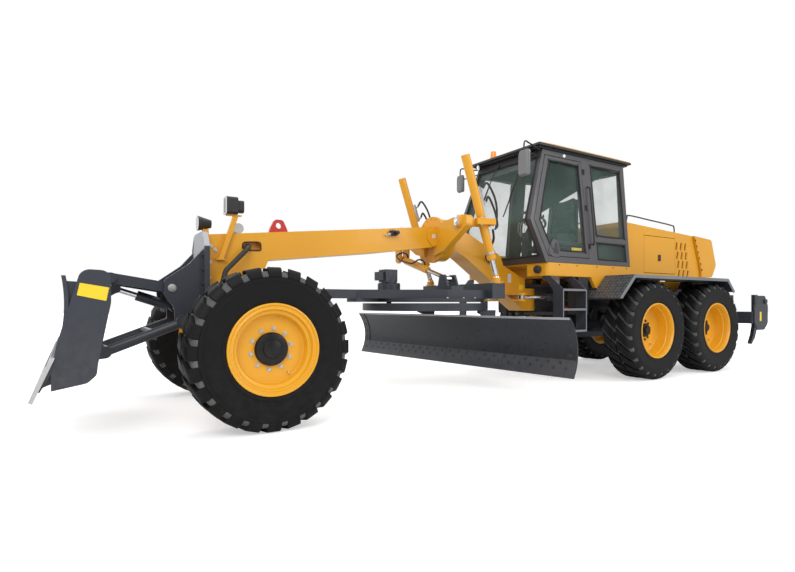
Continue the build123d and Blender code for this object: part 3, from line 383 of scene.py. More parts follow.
# A Geometry Nodes tree that sets one small shape at each vertex, turned by its "facing" and "along" vectors.
stamper = bpy.data.node_groups.new("stamper", "GeometryNodeTree")
for label, kind in (("Geometry", "Geometry"), ("Shape", "Object"), ("Size", "Float"),
                    ("Finish", "Material")):
    stamper.interface.new_socket(label, in_out="INPUT", socket_type="NodeSocket" + kind)
stamper.interface.new_socket("Geometry", in_out="OUTPUT", socket_type="NodeSocketGeometry")
stamp_in = stamper.nodes.new("NodeGroupInput").outputs
stamp_shape = node(stamper, "GeometryNodeObjectInfo", {"Object": stamp_in["Shape"]})
facing, along = [node(stamper, "GeometryNodeInputNamedAttribute", {"Name": label},
                      data_type="FLOAT_VECTOR").outputs[0] for label in ("facing", "along")]
faced = node(stamper, "FunctionNodeAlignRotationToVector", {"Vector": facing}, axis="Z")
swung = node(stamper, "FunctionNodeAlignRotationToVector",
             {"Rotation": faced.outputs[0], "Vector": along}, axis="X", pivot_axis="Z")
stamped_on = node(stamper, "GeometryNodeInstanceOnPoints", {
    "Points": stamp_in["Geometry"], "Instance": stamp_shape.outputs["Geometry"],
    "Rotation": swung.outputs[0], "Scale": stamp_in["Size"]})
made_real = node(stamper, "GeometryNodeRealizeInstances", {"Geometry": stamped_on.outputs[0]})
coated = node(stamper, "GeometryNodeSetMaterial",
              {"Geometry": made_real.outputs[0], "Material": stamp_in["Finish"]})
stamper.links.new(coated.outputs[0], stamper.nodes.new("NodeGroupOutput").inputs["Geometry"])
small_shapes = []


def shape_object(name, build, bevel=0.0):
    """A small shape for the stamper, drawn at the origin with Z outwards."""
    form = bmesh.new()
    build(form)
    bmesh.ops.recalc_face_normals(form, faces=form.faces)
    if bevel:
        bmesh.ops.bevel(form, geom=[edge for edge in form.edges if edge.calc_face_angle(0) > 0.5],
                        offset=bevel, segments=1, affect="EDGES", profile=0.5)
    made = bpy.data.objects.new(name, finished_mesh(name, form, sharp=math.radians(35)))
    scene.collection.objects.link(made)
    small_shapes.append(made)
    return made


def stamps(name, shape, spots, size, material, body, slot=None):
    """Sets a shape at each (place, facing, along) spot and makes one plain piece of them."""
    points = bpy.data.meshes.new(name)
    points.from_pydata([spot[0] for spot in spots], [], [])
    for label, column in (("facing", 1), ("along", 2)):
        values = points.attributes.new(label, "FLOAT_VECTOR", "POINT")
        values.data.foreach_set("vector", [number for spot in spots for number in spot[column]])
    host = bpy.data.objects.new(name, points)
    scene.collection.objects.link(host)
    modifier = host.modifiers.new("stamper", "NODES")
    modifier.node_group = stamper
    sockets = {item.name: item.identifier for item in stamper.interface.items_tree if item.in_out == "INPUT"}
    for label, value in (("Shape", shape), ("Size", size), ("Finish", material)):
        modifier[sockets[label]] = value
    plain = bpy.data.meshes.new_from_object(host.evaluated_get(bpy.context.evaluated_depsgraph_get()))
    for label in ("facing", "along"):
        if label in plain.attributes:
            plain.attributes.remove(plain.attributes[label])
    bpy.data.objects.remove(host)
    plain.materials.clear()
    return piece(name, plain, body, material, slot=slot)


def hex_bolt(form):
    """A washer, a six-sided head and the end of its bolt, one unit across the washer's radius."""
    turned(form, [(0, 0), (1, 0), (1, 0.16), (0, 0.16)], (0, 0, 0), upright, 16)
    turned(form, [(0, 0.1), (0.8, 0.1), (0.8, 0.6), (0.68, 0.72), (0, 0.72)], (0, 0, 0), upright, 6)
    turned(form, [(0, 0.6), (0.42, 0.6), (0.42, 0.95), (0, 0.95)], (0, 0, 0), upright, 12)


bolt = shape_object("bolt_shape", hex_bolt)


def ring_spots(centre, axis, radius, count, first=0.0):
    """Spots evenly round an axis, facing along it."""
    facing = Vector(axis).to_track_quat("Z", "Y").to_matrix()
    turns = [first + 2 * math.pi * i / count for i in range(count)]
    outs = [facing @ Vector((math.cos(turn), math.sin(turn), 0)) for turn in turns]
    return [(Vector(centre) + out * radius, axis, out) for out in outs]


def row_spots(start, end, count, facing):
    """Spots evenly from start to end, both included."""
    start, end = Vector(start), Vector(end)
    return [(start.lerp(end, i / (count - 1)), facing, (end - start).normalized()) for i in range(count)]


def wall_spots(y_signs, y, places):
    """Spots that face outwards from a side wall, at its distance from the middle and places of (x, z)."""
    return [((x, y_sign * y, z), (0, y_sign, 0), ahead) for y_sign in y_signs for x, z in places]


def lifting_eye(place, normal):
    return 1 if place.z > 1.79 and 3.14 < place.x < 3.38 and abs(place.y) < 0.022 else 0


dressed("front_frame", yellow, red, bevel=0.006, pick=lifting_eye)
beam_half = 0.149
nose_holes = ((3.971, 1.599), (3.981, 1.447), (3.99, 1.294), (3.93, 1.56))
stamps("nose_bolts", bolt, wall_spots((1, -1), beam_half + 0.002, nose_holes), 0.02, zinc, "front_body")
port_edge = [(3.5, 1.585), (3.6, 1.579), (3.665, 1.592), (3.672, 1.625), (3.655, 1.655), (3.58, 1.663),
             (3.505, 1.662), (3.492, 1.625), (3.5, 1.585), (3.6, 1.579)]
pad = [(1.3, 1.985), (1.385, 1.98), (1.46, 1.905), (1.46, 1.835), (1.385, 1.75), (1.3, 1.76)]
for side_name, y_sign in both_sides:
    port_lip = [(x, y_sign * (beam_half + 0.003), z) for x, z in port_edge]
    bent(side_name + "_port_lip", "front_body", black, port_lip, 0.007)
    side_plate(side_name + "_beam_pad", "front_body", yellow, pad, y_sign, beam_half, 0.166, bevel=0.004)
    for label, material, low, high, inner, outer in (
            ("_pad_plate", white_plate, (1.345, 1.85), (1.395, 1.895), 0.165, 0.168),
            ("_hinge_plate", white_plate, (0.07, 1.33), (0.13, 1.45), beam_half, 0.1525),
            ("_hinge_sign", yellow_plate, (-0.155, 1.235), (-0.08, 1.305), beam_half, 0.1525)):
        plate = oblong(low, high)
        side_plate(side_name + label, "front_body", material, plate, y_sign, inner, outer, bevel=0.001)

# ---------------------------------------------------------------- blade lift saddle
# Cast collar bolted round the beam, with arms that hold the lift cylinders' yokes; round cover plates
# with a ring of screws close the bearings at the arms' ends.
dressed("blade_lift_saddle", yellow, bevel=0.005)
collar_z = 1.85
flange_bolts = ring_spots((1.2955, 0, collar_z), ahead, 0.262, 18, 0.17)
clear_of_beam = [spot for spot in flange_bolts if abs(spot[0].y) > 0.17 or abs(spot[0].z - collar_z) > 0.2]
stamps("saddle_bolts", bolt, clear_of_beam, 0.013, yellow, "front_body")
lift_x, lift_y, yoke_x, yoke_z, drawbar_ball_x = 0.82, 0.7, 1.04, 2.0, 3.45
yoke_turn = math.atan2(lift_y, drawbar_ball_x - lift_x)
cover_plate = [(0, 0), (0.07, 0), (0.07, 0.008), (0.062, 0.012), (0.03, 0.012), (0.026, 0.02), (0, 0.02)]
for side_name, y_sign in both_sides:
    run = Vector((math.cos(yoke_turn), -y_sign * math.sin(yoke_turn), 0))
    cap_at = Vector((yoke_x, y_sign * lift_y, yoke_z)) + run * 0.3301
    turning(side_name + "_saddle_cap", "front_body", zinc, cover_plate, cap_at, run, 40)
    cap_screws = ring_spots(cap_at + run * 0.011, run, 0.05, 6)
    stamps(side_name + "_saddle_cap_screws", bolt, cap_screws, 0.009, zinc, "front_body")

# ---------------------------------------------------------------- dozer bracket and nose fittings
# Dark cheeks welded to a plate on the beam's end, its head left light grey; lamps on posts, a round
# reservoir and the thick hose of the front axle's cylinders stand on the beam.
grey = paint("light_grey_paint", (0.42, 0.43, 0.46), (0.36, 0.37, 0.4), 0.45, 0.2)
dressed("dozer_bracket", dark, grey,
        pick=lambda place, normal: 1 if place.z > 1.585 and place.x < 4.07 else 0)
rubber_hose = paint("hose_rubber", (0.02, 0.02, 0.021), (0.032, 0.032, 0.033), 0.62, 0.25, 0.8)
lens = paint("lamp_lens", (0.8, 0.82, 0.84), (0.7, 0.72, 0.75), 0.12, 0.05, 0.05, metallic=0.35,
             coat_weight=0.8)


def nose_pick(place, normal):
    """Finds which fitting a face is on: a post, a lamp's case or lens, the reservoir or the hose."""
    post, case, glazing, reservoir, hose = range(5)
    x, y, z = place
    if z > 1.917 and x > 3.66 and y > 0.05:
        return glazing if normal.x > 0.8 and x > 3.83 else case
    if y < -0.02 and x > 3.9:
        on_post = z < 1.789 and x < 4.001 and abs(y + 0.1) < 0.031 and abs(normal.x) + abs(normal.y) > 0.5
        return post if on_post else glazing if normal.x > 0.8 else case
    if x < 3.76 and z > 1.73 and y < 0.09:
        return reservoir
    post_x = 3.887 - 0.331 * (z - 1.479)
    return post if z > 1.467 and 0.15 < y < 0.198 and abs(x - post_x) < 0.075 else hose


dressed("nose_fittings", yellow, black, lens, zinc, rubber_hose, bevel=0.003, pick=nose_pick)
shaped("tall_lamp_bezel", lambda form: box_form(form, (3.835, 0.161, 1.93), (3.848, 0.169, 2.073)),
       "front_body", black, bevel=0.002)
cheek_bolts = []
for y in (0.285, -0.285):
    cheek_bolts += row_spots((4.061, y, 1.1), (4.061, y, 1.5), 4, ahead)
stamps("bracket_bolts", bolt, cheek_bolts, 0.018, dark, "front_body")

# ---------------------------------------------------------------- wheels
# Six off-road tyres with deep shoulder lugs on pressed rims painted yellow: the front rims flat with a
# black hub cap and ten plated nuts, the rear ones deep with their bolts round the hub.
rubber = paint("tyre_rubber", (0.006, 0.006, 0.0065), (0.009, 0.009, 0.0095), 0.5, 0.02, 0.9,
               specular_ior_level=0.16)
# the tread base between the lugs is a lighter grey: partly dust, partly a painted sheen of sky light on it
groove = paint("groove_dust_and_sheen", (0.085, 0.085, 0.09), (0.03, 0.03, 0.032), 0.85, 0.3, 0.9)
hub_black = paint("hub_black", (0.006, 0.006, 0.007), (0.004, 0.004, 0.005), 0.35, 0.05, 0.3,
                  specular_ior_level=0.3)
rim_yellow = paint("rim_yellow", (0.78, 0.37, 0.008), (0.7, 0.31, 0.007), 0.4, 0.06, coat_weight=0.15)
tyre_side = [(0.376, 0.196), (0.388, 0.209), (0.4, 0.2125), (0.404, 0.217), (0.414, 0.2175),
             (0.418, 0.2135), (0.45, 0.2165), (0.5, 0.219), (0.548, 0.2215), (0.552, 0.219),
             (0.556, 0.2215), (0.585, 0.2195), (0.592, 0.214), (0.612, 0.208), (0.632, 0.186),
             (0.637, 0.16), (0.638, 0.03)]
tyre_profile = tyre_side + [(r, -t) for r, t in reversed(tyre_side)] + [(0.3565, -0.188), (0.3565, 0.188)]
lug_section = [(0.008, 0.632), (0.01, 0.671), (0.06, 0.6735), (0.165, 0.6725), (0.185, 0.664),
               (0.212, 0.628), (0.2215, 0.596), (0.2215, 0.588), (0.205, 0.588), (0.195, 0.615)]
lug_half, lug_count, tread_radius, groove_radius, wheel_z = 0.0575, 24, 0.66, 0.6, 0.674


def swept_lug(form, reach, sweep):
    """A tread lug: X along the axle, Z out from it, swept along the tread and bent round the tyre."""
    prism(form, lug_section, -lug_half, lug_half)
    for corner in form.verts:
        widening = 1 + (tread_radius - corner.co.z) * 0.5
        turn = (corner.co.y + max(reach - corner.co.x, 0) * sweep) * widening / tread_radius
        corner.co.y, corner.co.z = corner.co.z * math.sin(turn), corner.co.z * math.cos(turn)


front_lug = shape_object("front_lug", lambda form: swept_lug(form, 0.13, 0.55), 0.006)
rear_lug = shape_object("rear_lug", lambda form: swept_lug(form, 0.19, 0.9), 0.006)
rim_lip = [(0.375, 0.1905), (0.379, 0.2), (0.377, 0.209), (0.369, 0.212), (0.361, 0.209)]
rim_back = [(0.372, -0.197), (0.376, -0.197), (0.376, -0.1905), (0.3575, -0.189), (0.3575, 0.189)]
front_rim = [*rim_lip, (0.356, 0.199), (0.343, 0.197), (0.336, 0.201), (0.328, 0.199), (0.322, 0.188),
             (0.317, 0.172), (0.303, 0.169), (0.293, 0.165), (0.287, 0.15), (0.282, 0.106), (0.274, 0.098),
             (0.136, 0.098), (0.094, 0.1), (0.094, 0.062), (0.25, 0.062), (0.3, 0.02), (0.33, -0.18),
             *rim_back]
rear_rim = [*rim_lip, (0.354, 0.198), (0.347, 0.184), (0.34, 0.13), (0.331, 0.118), (0.322, 0.02),
            (0.31, -0.008), (0.29, -0.018), (0.094, -0.018), (0.094, -0.058), (0.29, -0.058), (0.32, -0.18),
            *rim_back]
front_hub = [(0, 0.152), (0.066, 0.152), (0.074, 0.148), (0.078, 0.139), (0.118, 0.137), (0.13, 0.132),
             (0.138, 0.12), (0.138, 0.099), (0.0, 0.099)]
rear_hub = [(0, 0.058), (0.05, 0.058), (0.058, 0.05), (0.062, 0.03), (0.088, 0.026), (0.094, 0.016),
            (0.094, -0.017), (0, -0.017)]
valve_stem = [(0, 0), (0.009, 0), (0.007, 0.03), (0, 0.032)]
rear_fit = (1.05, rear_rim, rear_hub, rear_lug, 0.135, -0.0175, 12, dark)
wheels = {"front": (3.72, 1.1, front_rim, front_hub, front_lug, 0.17, 0.0985, 10, zinc),
          "middle": (-1.611, *rear_fit), "rear": (-3.149, *rear_fit)}
for side_name, y_sign in both_sides:
    for place_name, (x, y, rim, hub, lug, nut_ring, nut_at, nut_count, nut_finish) in wheels.items():
        name = side_name + "_" + place_name
        wheel = name + "_wheel"
        centre, out = Vector((x, y_sign * y, wheel_z)), Vector((0, y_sign, 0))
        shaped(name + "_tyre", lambda form: turned(form, tyre_profile, centre, out, 128), wheel, rubber,
               groove, pick=lambda place, normal: 1 if (place - centre).xz.length > groove_radius else 0,
               stands_for=(wheel,), slot="tyre_rubber")
        turning(name + "_rim", wheel, rim_yellow, rim, centre, out, 96)
        turning(name + "_hub_cap", wheel, hub_black, hub, centre, out, 64)
        spots = []
        for outward, half_turn in ((out, 0), (-out, 0.5)):
            for i in range(lug_count):
                turn = 2 * math.pi * (i + half_turn) / lug_count
                spots.append((centre, (math.cos(turn), 0, math.sin(turn)), outward))
        stamps(name + "_lugs", lug, spots, 1.0, rubber, wheel, slot="tyre_rubber")
        nuts = ring_spots(centre + out * nut_at, out, nut_ring, nut_count, 0.2)
        stamps(name + "_nuts", bolt, nuts, 0.019, nut_finish, wheel)
        valve_at = centre + Vector((-0.14 * y_sign, 0, -0.2)) + out * nut_at
        turning(name + "_valve", wheel, zinc, valve_stem, valve_at, out, 12)

# ---------------------------------------------------------------- front axle and steering
# A forged axle with leaning king pin brackets, knuckles and a lean bar, all painted yellow; plated ball
# studs pin the dark tie rod to the knuckles.
dressed("front_axle left_lean_bracket right_lean_bracket left_knuckle right_knuckle lean_tie_bar", yellow)
dressed("steering_tie_rod", dark)
stud = [(0, 0.65), (0.013, 0.65), (0.016, 0.7), (0.03, 0.712), (0.03, 0.742), (0.012, 0.76), (0, 0.76)]
shaped("tie_rod_studs", lambda form: [
    turned(form, stud, (3.505, y, 0), upright, 20) for y in (-0.805, 0.805)], "steering_tie_rod", zinc)

# ---------------------------------------------------------------- blade lift and centre shift cylinders
# Long painted barrels held in cast yokes part way up, with plated rods below; a port block on each
# takes two rubber hoses, and an oil gland closes the lower end.
chrome = paint("chrome_rod", (0.72, 0.72, 0.74), (0.62, 0.62, 0.65), 0.16, 0.02, 0.05, metallic=1.0)
dressed("left_lift_yoke right_lift_yoke left_lift_barrel right_lift_barrel", yellow)
dressed("centre_shift_barrel centre_shift_ball", yellow)
dressed("left_lift_rod right_lift_rod centre_shift_rod", chrome, bevel=0.002)
lift_run = Vector((0.48, 0, 1.405)).normalized()
lift_back = Vector((-lift_run.z, 0, lift_run.x))
gland = [(0.035, 0.225), (0.05, 0.225), (0.057, 0.235), (0.057, 0.275), (0.051, 0.28), (0.035, 0.28)]
clamp = [(0.051, 0.3), (0.056, 0.3), (0.056, 0.325), (0.051, 0.325)]
rod_end = [(0.028, 0.018), (0.034, 0.024), (0.034, 0.042), (0.028, 0.048)]
ball_cup = [(0, 1.286), (0.06, 1.286), (0.06, 1.3), (0.05, 1.306), (0.05, 1.352), (0.043, 1.358),
            (0.037, 1.335), (0, 1.314)]
port_union = [(0, -0.03), (0.022, -0.03), (0.022, 0.03), (0.012, 0.034), (0.012, 0.06), (0, 0.06)]
port_body = [(0, -0.12), (0.03, -0.12), (0.034, -0.1), (0.034, 0.1), (0.03, 0.12), (0, 0.12)]
for side_name, y_sign in both_sides:
    foot = Vector((lift_x, y_sign * lift_y, 1.355))
    port = foot + lift_run * 0.98 + lift_back * 0.075
    barrel = side_name + "_lift_barrel"
    turning(side_name + "_lift_gland", barrel, yellow, gland, foot, lift_run, 32)
    turning(side_name + "_lift_clamp", barrel, zinc, clamp, foot, lift_run, 32)
    turning(side_name + "_lift_rod_end", side_name + "_lift_rod", yellow, rod_end, foot, lift_run, 32)
    turning(side_name + "_lift_ball_cup", "drawbar", yellow, ball_cup, (lift_x, foot.y, 0), upright, 32)
    cup_bolts = ring_spots((lift_x, foot.y, 1.3), upright, 0.072, 6)
    stamps(side_name + "_ball_cup_bolts", bolt, cup_bolts, 0.011, zinc, "drawbar")

    def port_block(form):
        for shift in (-0.08, 0.08):
            turned(form, port_union, port + lift_run * shift, lift_back, 6)
        turned(form, port_body, port - lift_back * 0.012, lift_run, 8)

    def barrel_hoses(form):
        for shift, reach in ((-0.08, 0.1), (0.08, 0.15)):
            start = port + lift_run * shift + lift_back * 0.055
            tube(form, [start, start + lift_back * reach * 0.6 + lift_run * 0.05,
                        start + lift_back * reach - lift_run * 0.12,
                        start + lift_back * reach * 0.9 - lift_run * 0.3,
                        port + lift_back * (0.06 + reach * 0.3) - lift_run * 0.42], 0.013)

    def saddle_hoses(form):
        for spread in (0, 0.035):
            tube(form, [(0.88 - spread, y_sign * (0.7 - spread), 1.93),
                        (0.8 - spread, y_sign * (0.62 - spread), 1.83),
                        (0.68 - spread, y_sign * (0.42 - spread), 1.74),
                        (0.56 - spread, y_sign * 0.2, 1.66 - spread),
                        (0.45 - spread, y_sign * 0.14, 1.6 - spread)], 0.013)

    shaped(side_name + "_lift_port_block", port_block, barrel, zinc)
    shaped(side_name + "_lift_hoses", barrel_hoses, barrel, rubber_hose)
    shaped(side_name + "_saddle_hoses", saddle_hoses, "front_body", rubber_hose)
    for label, facing in (("_yoke_bolts_under", -1), ("_yoke_bolts_top", 1)):
        spots = [((yoke_x + a, y_sign * lift_y + b, yoke_z + facing * 0.0352), (0, 0, facing), ahead)
                 for a in (-0.095, 0.095) for b in (-0.095, 0.095)]
        stamps(side_name + label, bolt, spots, 0.013, zinc, side_name + "_lift_yoke")


def centre_shift_hoses(form):
    base, foot = Vector((1.375, -0.56, 1.64)), Vector((1.365, 0.45, 1.34))
    run = (foot - base).normalized()
    for start, reach in ((0.14, 0.12), (0.56, 0.16)):
        top = base + run * start + Vector((0, 0, 0.046))
        tube(form, [top, top + Vector((0.02, 0, 0.05)), top + Vector((0.07, -0.05, 0.07)),
                    top + Vector((0.1, -reach, 0.03)), base + run * 0.1 + Vector((0.1, 0, 0))], 0.01)


def beam_valve(form):
    box_form(form, (1.9, 0.15, 1.84), (1.99, 0.2, 1.9))
    turned(form, [(0, 0), (0.022, 0), (0.022, 0.05), (0.014, 0.055), (0, 0.055)], (1.925, 0.2, 1.87),
           across, 12)


shaped("centre_shift_hoses", centre_shift_hoses, "centre_shift_barrel", rubber_hose)
shaped("beam_valve", beam_valve, "front_body", black, bevel=0.004)
turning("beam_valve_fitting", "front_body", zinc,
        [(0, 0), (0.018, 0), (0.018, 0.03), (0.011, 0.034), (0.011, 0.07), (0, 0.07)],
        (1.985, 0.175, 1.855), (1, 0, -0.35), 6)

# ---------------------------------------------------------------- drawbar, circle and moldboard
# Welded plate drawbar over a toothed ring; the rolled moldboard wears a bright edge and carries its
# cutting edges on rows of plough bolts, with the side shift cylinder along its back.
blade_dark = paint("blade_paint", (0.017, 0.02, 0.026), (0.012, 0.014, 0.018), 0.3, 0.04, 0.4,
                   specular_ior_level=0.4)
worn = paint("worn_steel", (0.42, 0.43, 0.46), (0.28, 0.29, 0.32), 0.45, 0.1, 0.5, metallic=0.2)
edge_blue = paint("cutting_edge_paint", (0.035, 0.04, 0.05), (0.06, 0.065, 0.075), 0.32, 0.05, 0.4)
dressed("drawbar drawbar_swivel circle circle_drive_pinion blade_tilt_frame", dark)
dressed("moldboard", blade_dark, worn, bevel=0.003,
        pick=lambda place, normal: 1 if place.z > 0.893 and normal.z > 0.5 else 0)
blade_turn = math.radians(5.3)
blade_across = Vector((-math.sin(blade_turn), math.cos(blade_turn), 0))
blade_ahead = Vector((math.cos(blade_turn), math.sin(blade_turn), 0))
circle_x = 1.39
board_foot, board_head, sag, blade_half = Vector((-0.31, 0, 0.29)), Vector((-0.25, 0, 0.905)), 0.1, 1.965
chord = board_head - board_foot
bow = Vector((-chord.z, 0, chord.x)).normalized()
board_radius = (chord.length ** 2 / 4 + sag ** 2) / (2 * sag)


def on_blade(ahead_of_pin, along_blade, up):
    """A place measured from the circle's middle: ahead, along the turned blade and up from the ground."""
    return Vector((circle_x, 0, up)) + blade_ahead * ahead_of_pin + blade_across * along_blade


def board_face(share):
    """Front surface of the moldboard at a share of its height: its place and outward direction."""
    turn = math.asin(chord.length / 2 / board_radius) * (2 * share - 1)
    place = (board_foot + chord / 2 + chord.normalized() * board_radius * math.sin(turn)
             + bow * (board_radius * math.cos(turn) - board_radius + sag))
    return place, -(bow * math.cos(turn) + chord.normalized() * math.sin(turn))


def board_spot(share, along_blade, proud):
    """A spot on the moldboard's face, a little proud of it."""
    place, out = board_face(share)
    at = place + out * proud
    return on_blade(at.x, along_blade, at.z), blade_ahead * out.x + Vector((0, 0, out.z)), blade_across


plough = shape_object("plough_bolt_shape", lambda form: turned(
    form, [(0, 0), (1, 0), (0.86, 0.18), (0, 0.18)], (0, 0, 0), upright, 16))
bolt_step, row_half, spots = 0.155, blade_half - 0.1, []
for share, first in ((0.15, 0), (0.24, bolt_step / 2)):
    for i in range(round(2 * row_half / bolt_step) + 1):
        if -row_half + i * bolt_step + first < blade_half - 0.05:
            spots.append(board_spot(share, -row_half + i * bolt_step + first, 0.0085))
for end in (-1, 1):
    spots += [board_spot(share, end * (blade_half - 0.07), 0.0075) for share in (0.36, 0.52, 0.68, 0.84)]
stamps("plough_bolts", plough, spots, 0.021, black, "moldboard")


def board_strip(form, low, high, left, right, thick, steps):
    """A strip rolled to the moldboard's face, between two shares of its height and two distances across."""
    rows = [[], []]
    for i in range(steps + 1):
        for row, proud in zip(rows, (thick, -0.001)):
            row.append([form.verts.new(board_spot(low + (high - low) * i / steps, along_blade, proud)[0])
                        for along_blade in (left, right)])
    face, back = rows
    for row in rows:
        for under, over in zip(row, row[1:]):
            form.faces.new((under[0], under[1], over[1], over[0]))
    for i in range(steps):
        for side in (0, 1):
            form.faces.new((face[i][side], back[i][side], back[i + 1][side], face[i + 1][side]))
    for i in (0, steps):
        form.faces.new((face[i][0], face[i][1], back[i][1], back[i][0]))


def cutting_edges(form):
    for i in range(4):
        left = -blade_half + 0.004 + i * blade_half / 2
        board_strip(form, 0.002, 0.29, left, left + blade_half / 2 - 0.006, 0.0085, 6)


def end_bits(form):
    for left in (-blade_half + 0.003, blade_half - 0.143):
        board_strip(form, 0.295, 0.95, left, left + 0.14, 0.0075, 10)


def side_shift_barrel(form):
    base = on_blade(-0.34, 0.13, 0.87)
    turned(form, [(0, 0), (0.022, 0), (0.03, 0.012), (0.03, 0.6), (0.024, 0.612), (0, 0.612)], base,
           blade_across, 28)
    turned(form, [(0.029, 0.09), (0.037, 0.09), (0.037, 0.17), (0.029, 0.17)], base, blade_across, 28)


def side_shift_eye(form):
    turned(form, [(0, 0), (0.036, 0), (0.036, 0.07), (0.02, 0.075), (0.02, 0.1), (0, 0.1)],
           on_blade(-0.34, 1.25, 0.87), blade_across, 20)
    turned(form, [(0, 0), (0.02, 0), (0.02, 0.04), (0, 0.04)], on_blade(-0.34, 1.28, 0.855), (0, 0, -1), 4)


shaped("cutting_edges", cutting_edges, "moldboard", edge_blue)
shaped("end_bits", end_bits, "moldboard", blade_dark)
shaped("board_top_wear", lambda form: board_strip(
    form, 0.955, 1.0, -blade_half + 0.002, blade_half - 0.002, 0.0015, 3), "moldboard", worn)
shaped("side_shift_barrel", side_shift_barrel, "blade_tilt_frame", dark)
turning("side_shift_rod", "moldboard", chrome, [(0, 0), (0.016, 0), (0.016, 1.05), (0, 1.05)],
        on_blade(-0.34, 0.22, 0.87), blade_across, 20)
shaped("side_shift_eye", side_shift_eye, "moldboard", zinc)
stamps("gearbox_bolts", bolt, ring_spots((1.9085, 0, 1.28), upright, 0.118, 10), 0.014, dark, "drawbar")
ring_plate = [spot for spot in ring_spots((circle_x, 0, 1.104), upright, 0.7, 20, 0.1)
              if abs(spot[0].y) > 0.66 or 0.95 < spot[0].x < 1.25]
stamps("ring_plate_bolts", bolt, ring_plate, 0.016, zinc, "drawbar")

# ---------------------------------------------------------------- dozer blade and its linkage
# Short curved blade between flat side plates, with a bolted edge of bare light steel; round arms,
# a flat upper link and the lift cylinder hang it on the bracket.
edge_steel = paint("edge_steel", (0.5, 0.5, 0.5), (0.4, 0.4, 0.4), 0.5, 0.1, 0.4, metallic=0.25)


def dozer_pick(place, normal):
    """The bolted edge: below the board's foot and ahead of the slanting back of the edge."""
    back_of_edge = 5.18 + (0.69 - place.z) * 0.12 / 0.29
    return 1 if place.z < 0.705 and place.x > back_of_edge else 0


dressed("dozer_blade", dark, edge_steel, pick=dozer_pick)
dressed("dozer_arms dozer_link dozer_ram_barrel", dark)
dressed("dozer_ram_rod", chrome, bevel=0.002)
edge_out = Vector((0.925, 0, 0.379)).normalized()
edge_spots = [((5.2325, -1.23 + 0.1295 * i, 0.639), edge_out, across) for i in range(20)]
stamps("dozer_edge_bolts", plough, edge_spots, 0.016, black, "dozer_blade")
dozer_half, blade_label = 1.3, [(5.046, 1.187), (4.876, 1.158), (4.893, 1.066), (5.063, 1.104)]
for side_name, y_sign in both_sides:
    side_plate(side_name + "_blade_label", "dozer_blade", yellow_plate, blade_label, y_sign,
               dozer_half - 0.0005, dozer_half + 0.0012, bevel=0.0005)
for name, y, pin_at, size, material, body in (
        ("link_pins", 0.2175, (4.81, 1.27), 0.034, zinc, "dozer_blade"),
        ("bracket_pins", 0.2655, (4.33, 1.19), 0.036, zinc, "front_body"),
        ("arm_pins", 0.3725, (4.24, 0.88), 0.034, dark, "front_body")):
    stamps(name, bolt, wall_spots((1, -1), y, [pin_at]), size, material, body)


def dozer_ram_hoses(form):
    for y in (-0.03, 0.03):
        tube(form, [(4.36, y, 1.075), (4.38, y, 1.12), (4.33, y * 1.5, 1.16), (4.24, y * 2, 1.13),
                    (4.17, y * 2, 1.08), (4.1, y * 2.4, 1.09)], 0.012)


loose_hoses = shaped("dozer_ram_hoses", dozer_ram_hoses, None, rubber_hose)
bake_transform(loose_hoses)

# ---------------------------------------------------------------- cab shell, doors and glass
# Folded and welded pillars with bonded green tinted panes in black rubber; each door hangs on its
# rear pillar and has an oval latch pocket low at the front.
cab_dark = paint("cab_paint", (0.052, 0.05, 0.055), (0.042, 0.04, 0.045), 0.4, 0.12, coat_weight=0.2)
seal_rubber = paint("seal_rubber", (0.012, 0.012, 0.013), (0.02, 0.02, 0.02), 0.7, 0.1, 0.3)
glass, tint = new_material("tinted_glass")
streaks = noise(tint, node(tint, "ShaderNodeTexCoord").outputs["Object"], 2.2, 4)
pane = node(tint, "ShaderNodeBsdfPrincipled", {
    "Alpha": ranged(tint, streaks, 0.35, 0.75, 0.1, 0.2),
    "Roughness": ranged(tint, streaks, 0, 1, 0.01, 0.08),
    "Base Color": (0.16, 0.25, 0.22, 1), "IOR": 1.5})
node(tint, "ShaderNodeOutputMaterial", {"Surface": pane.outputs[0]})
cab_foot_z, waist_z, cab_rise, sill_half = 1.57, 2.11, 1.49, 0.8


def cab_half(z):
    """Half the cab's width at a height: the walls lean inwards."""
    return sill_half - (z - cab_foot_z) * 0.16 / cab_rise


def cab_front(z):
    """How far ahead the windscreen stands at a height: out to the waist, then back to the roof."""
    return 0.08 + (z - cab_foot_z) * 0.22 / 0.54 if z <= waist_z else 0.3 - (z - waist_z) * 0.32 / 0.95


def cab_rear(z):
    return -1.64 - (z - cab_foot_z) * 0.06 / cab_rise


def on_side(y_sign, outline, out):
    return [Vector((x, y_sign * (cab_half(z) + out), z)) for x, z in outline]


def across_cab(outline, surface, out):
    return [Vector((surface(z) + out, y, z)) for y, z in outline]


def seal(name, body, corners, radius=0.012):
    """A rubber bead round a pane: straight along the sides, tight at the corners."""
    loop = []
    for before, corner, after in zip(corners[-1:] + corners[:-1], corners, corners[1:] + corners[:1]):
        loop += [corner.lerp(before, 0.06), corner.lerp(after, 0.06)]
    shaped(name, lambda form: tube(form, loop + loop[:2], radius, 6, 3), body, seal_rubber)


def cab_plate(name, body, material, y_sign, outline, out, back, bevel=0.0):
    """A pane or plate along the leaning side wall, between two distances from it."""
    loops = [on_side(y_sign, outline, distance) for distance in (out, back)]
    shaped(name, lambda form: joined_loops(form, *loops), body, material, bevel=bevel)


def cross_pane(name, outline, surface, out, back):
    """A pane across the cab's front or back, between two distances from its surface."""
    loops = [across_cab(outline, surface, distance) for distance in (out, back)]
    shaped(name, lambda form: joined_loops(form, *loops), "rear_body", glass)


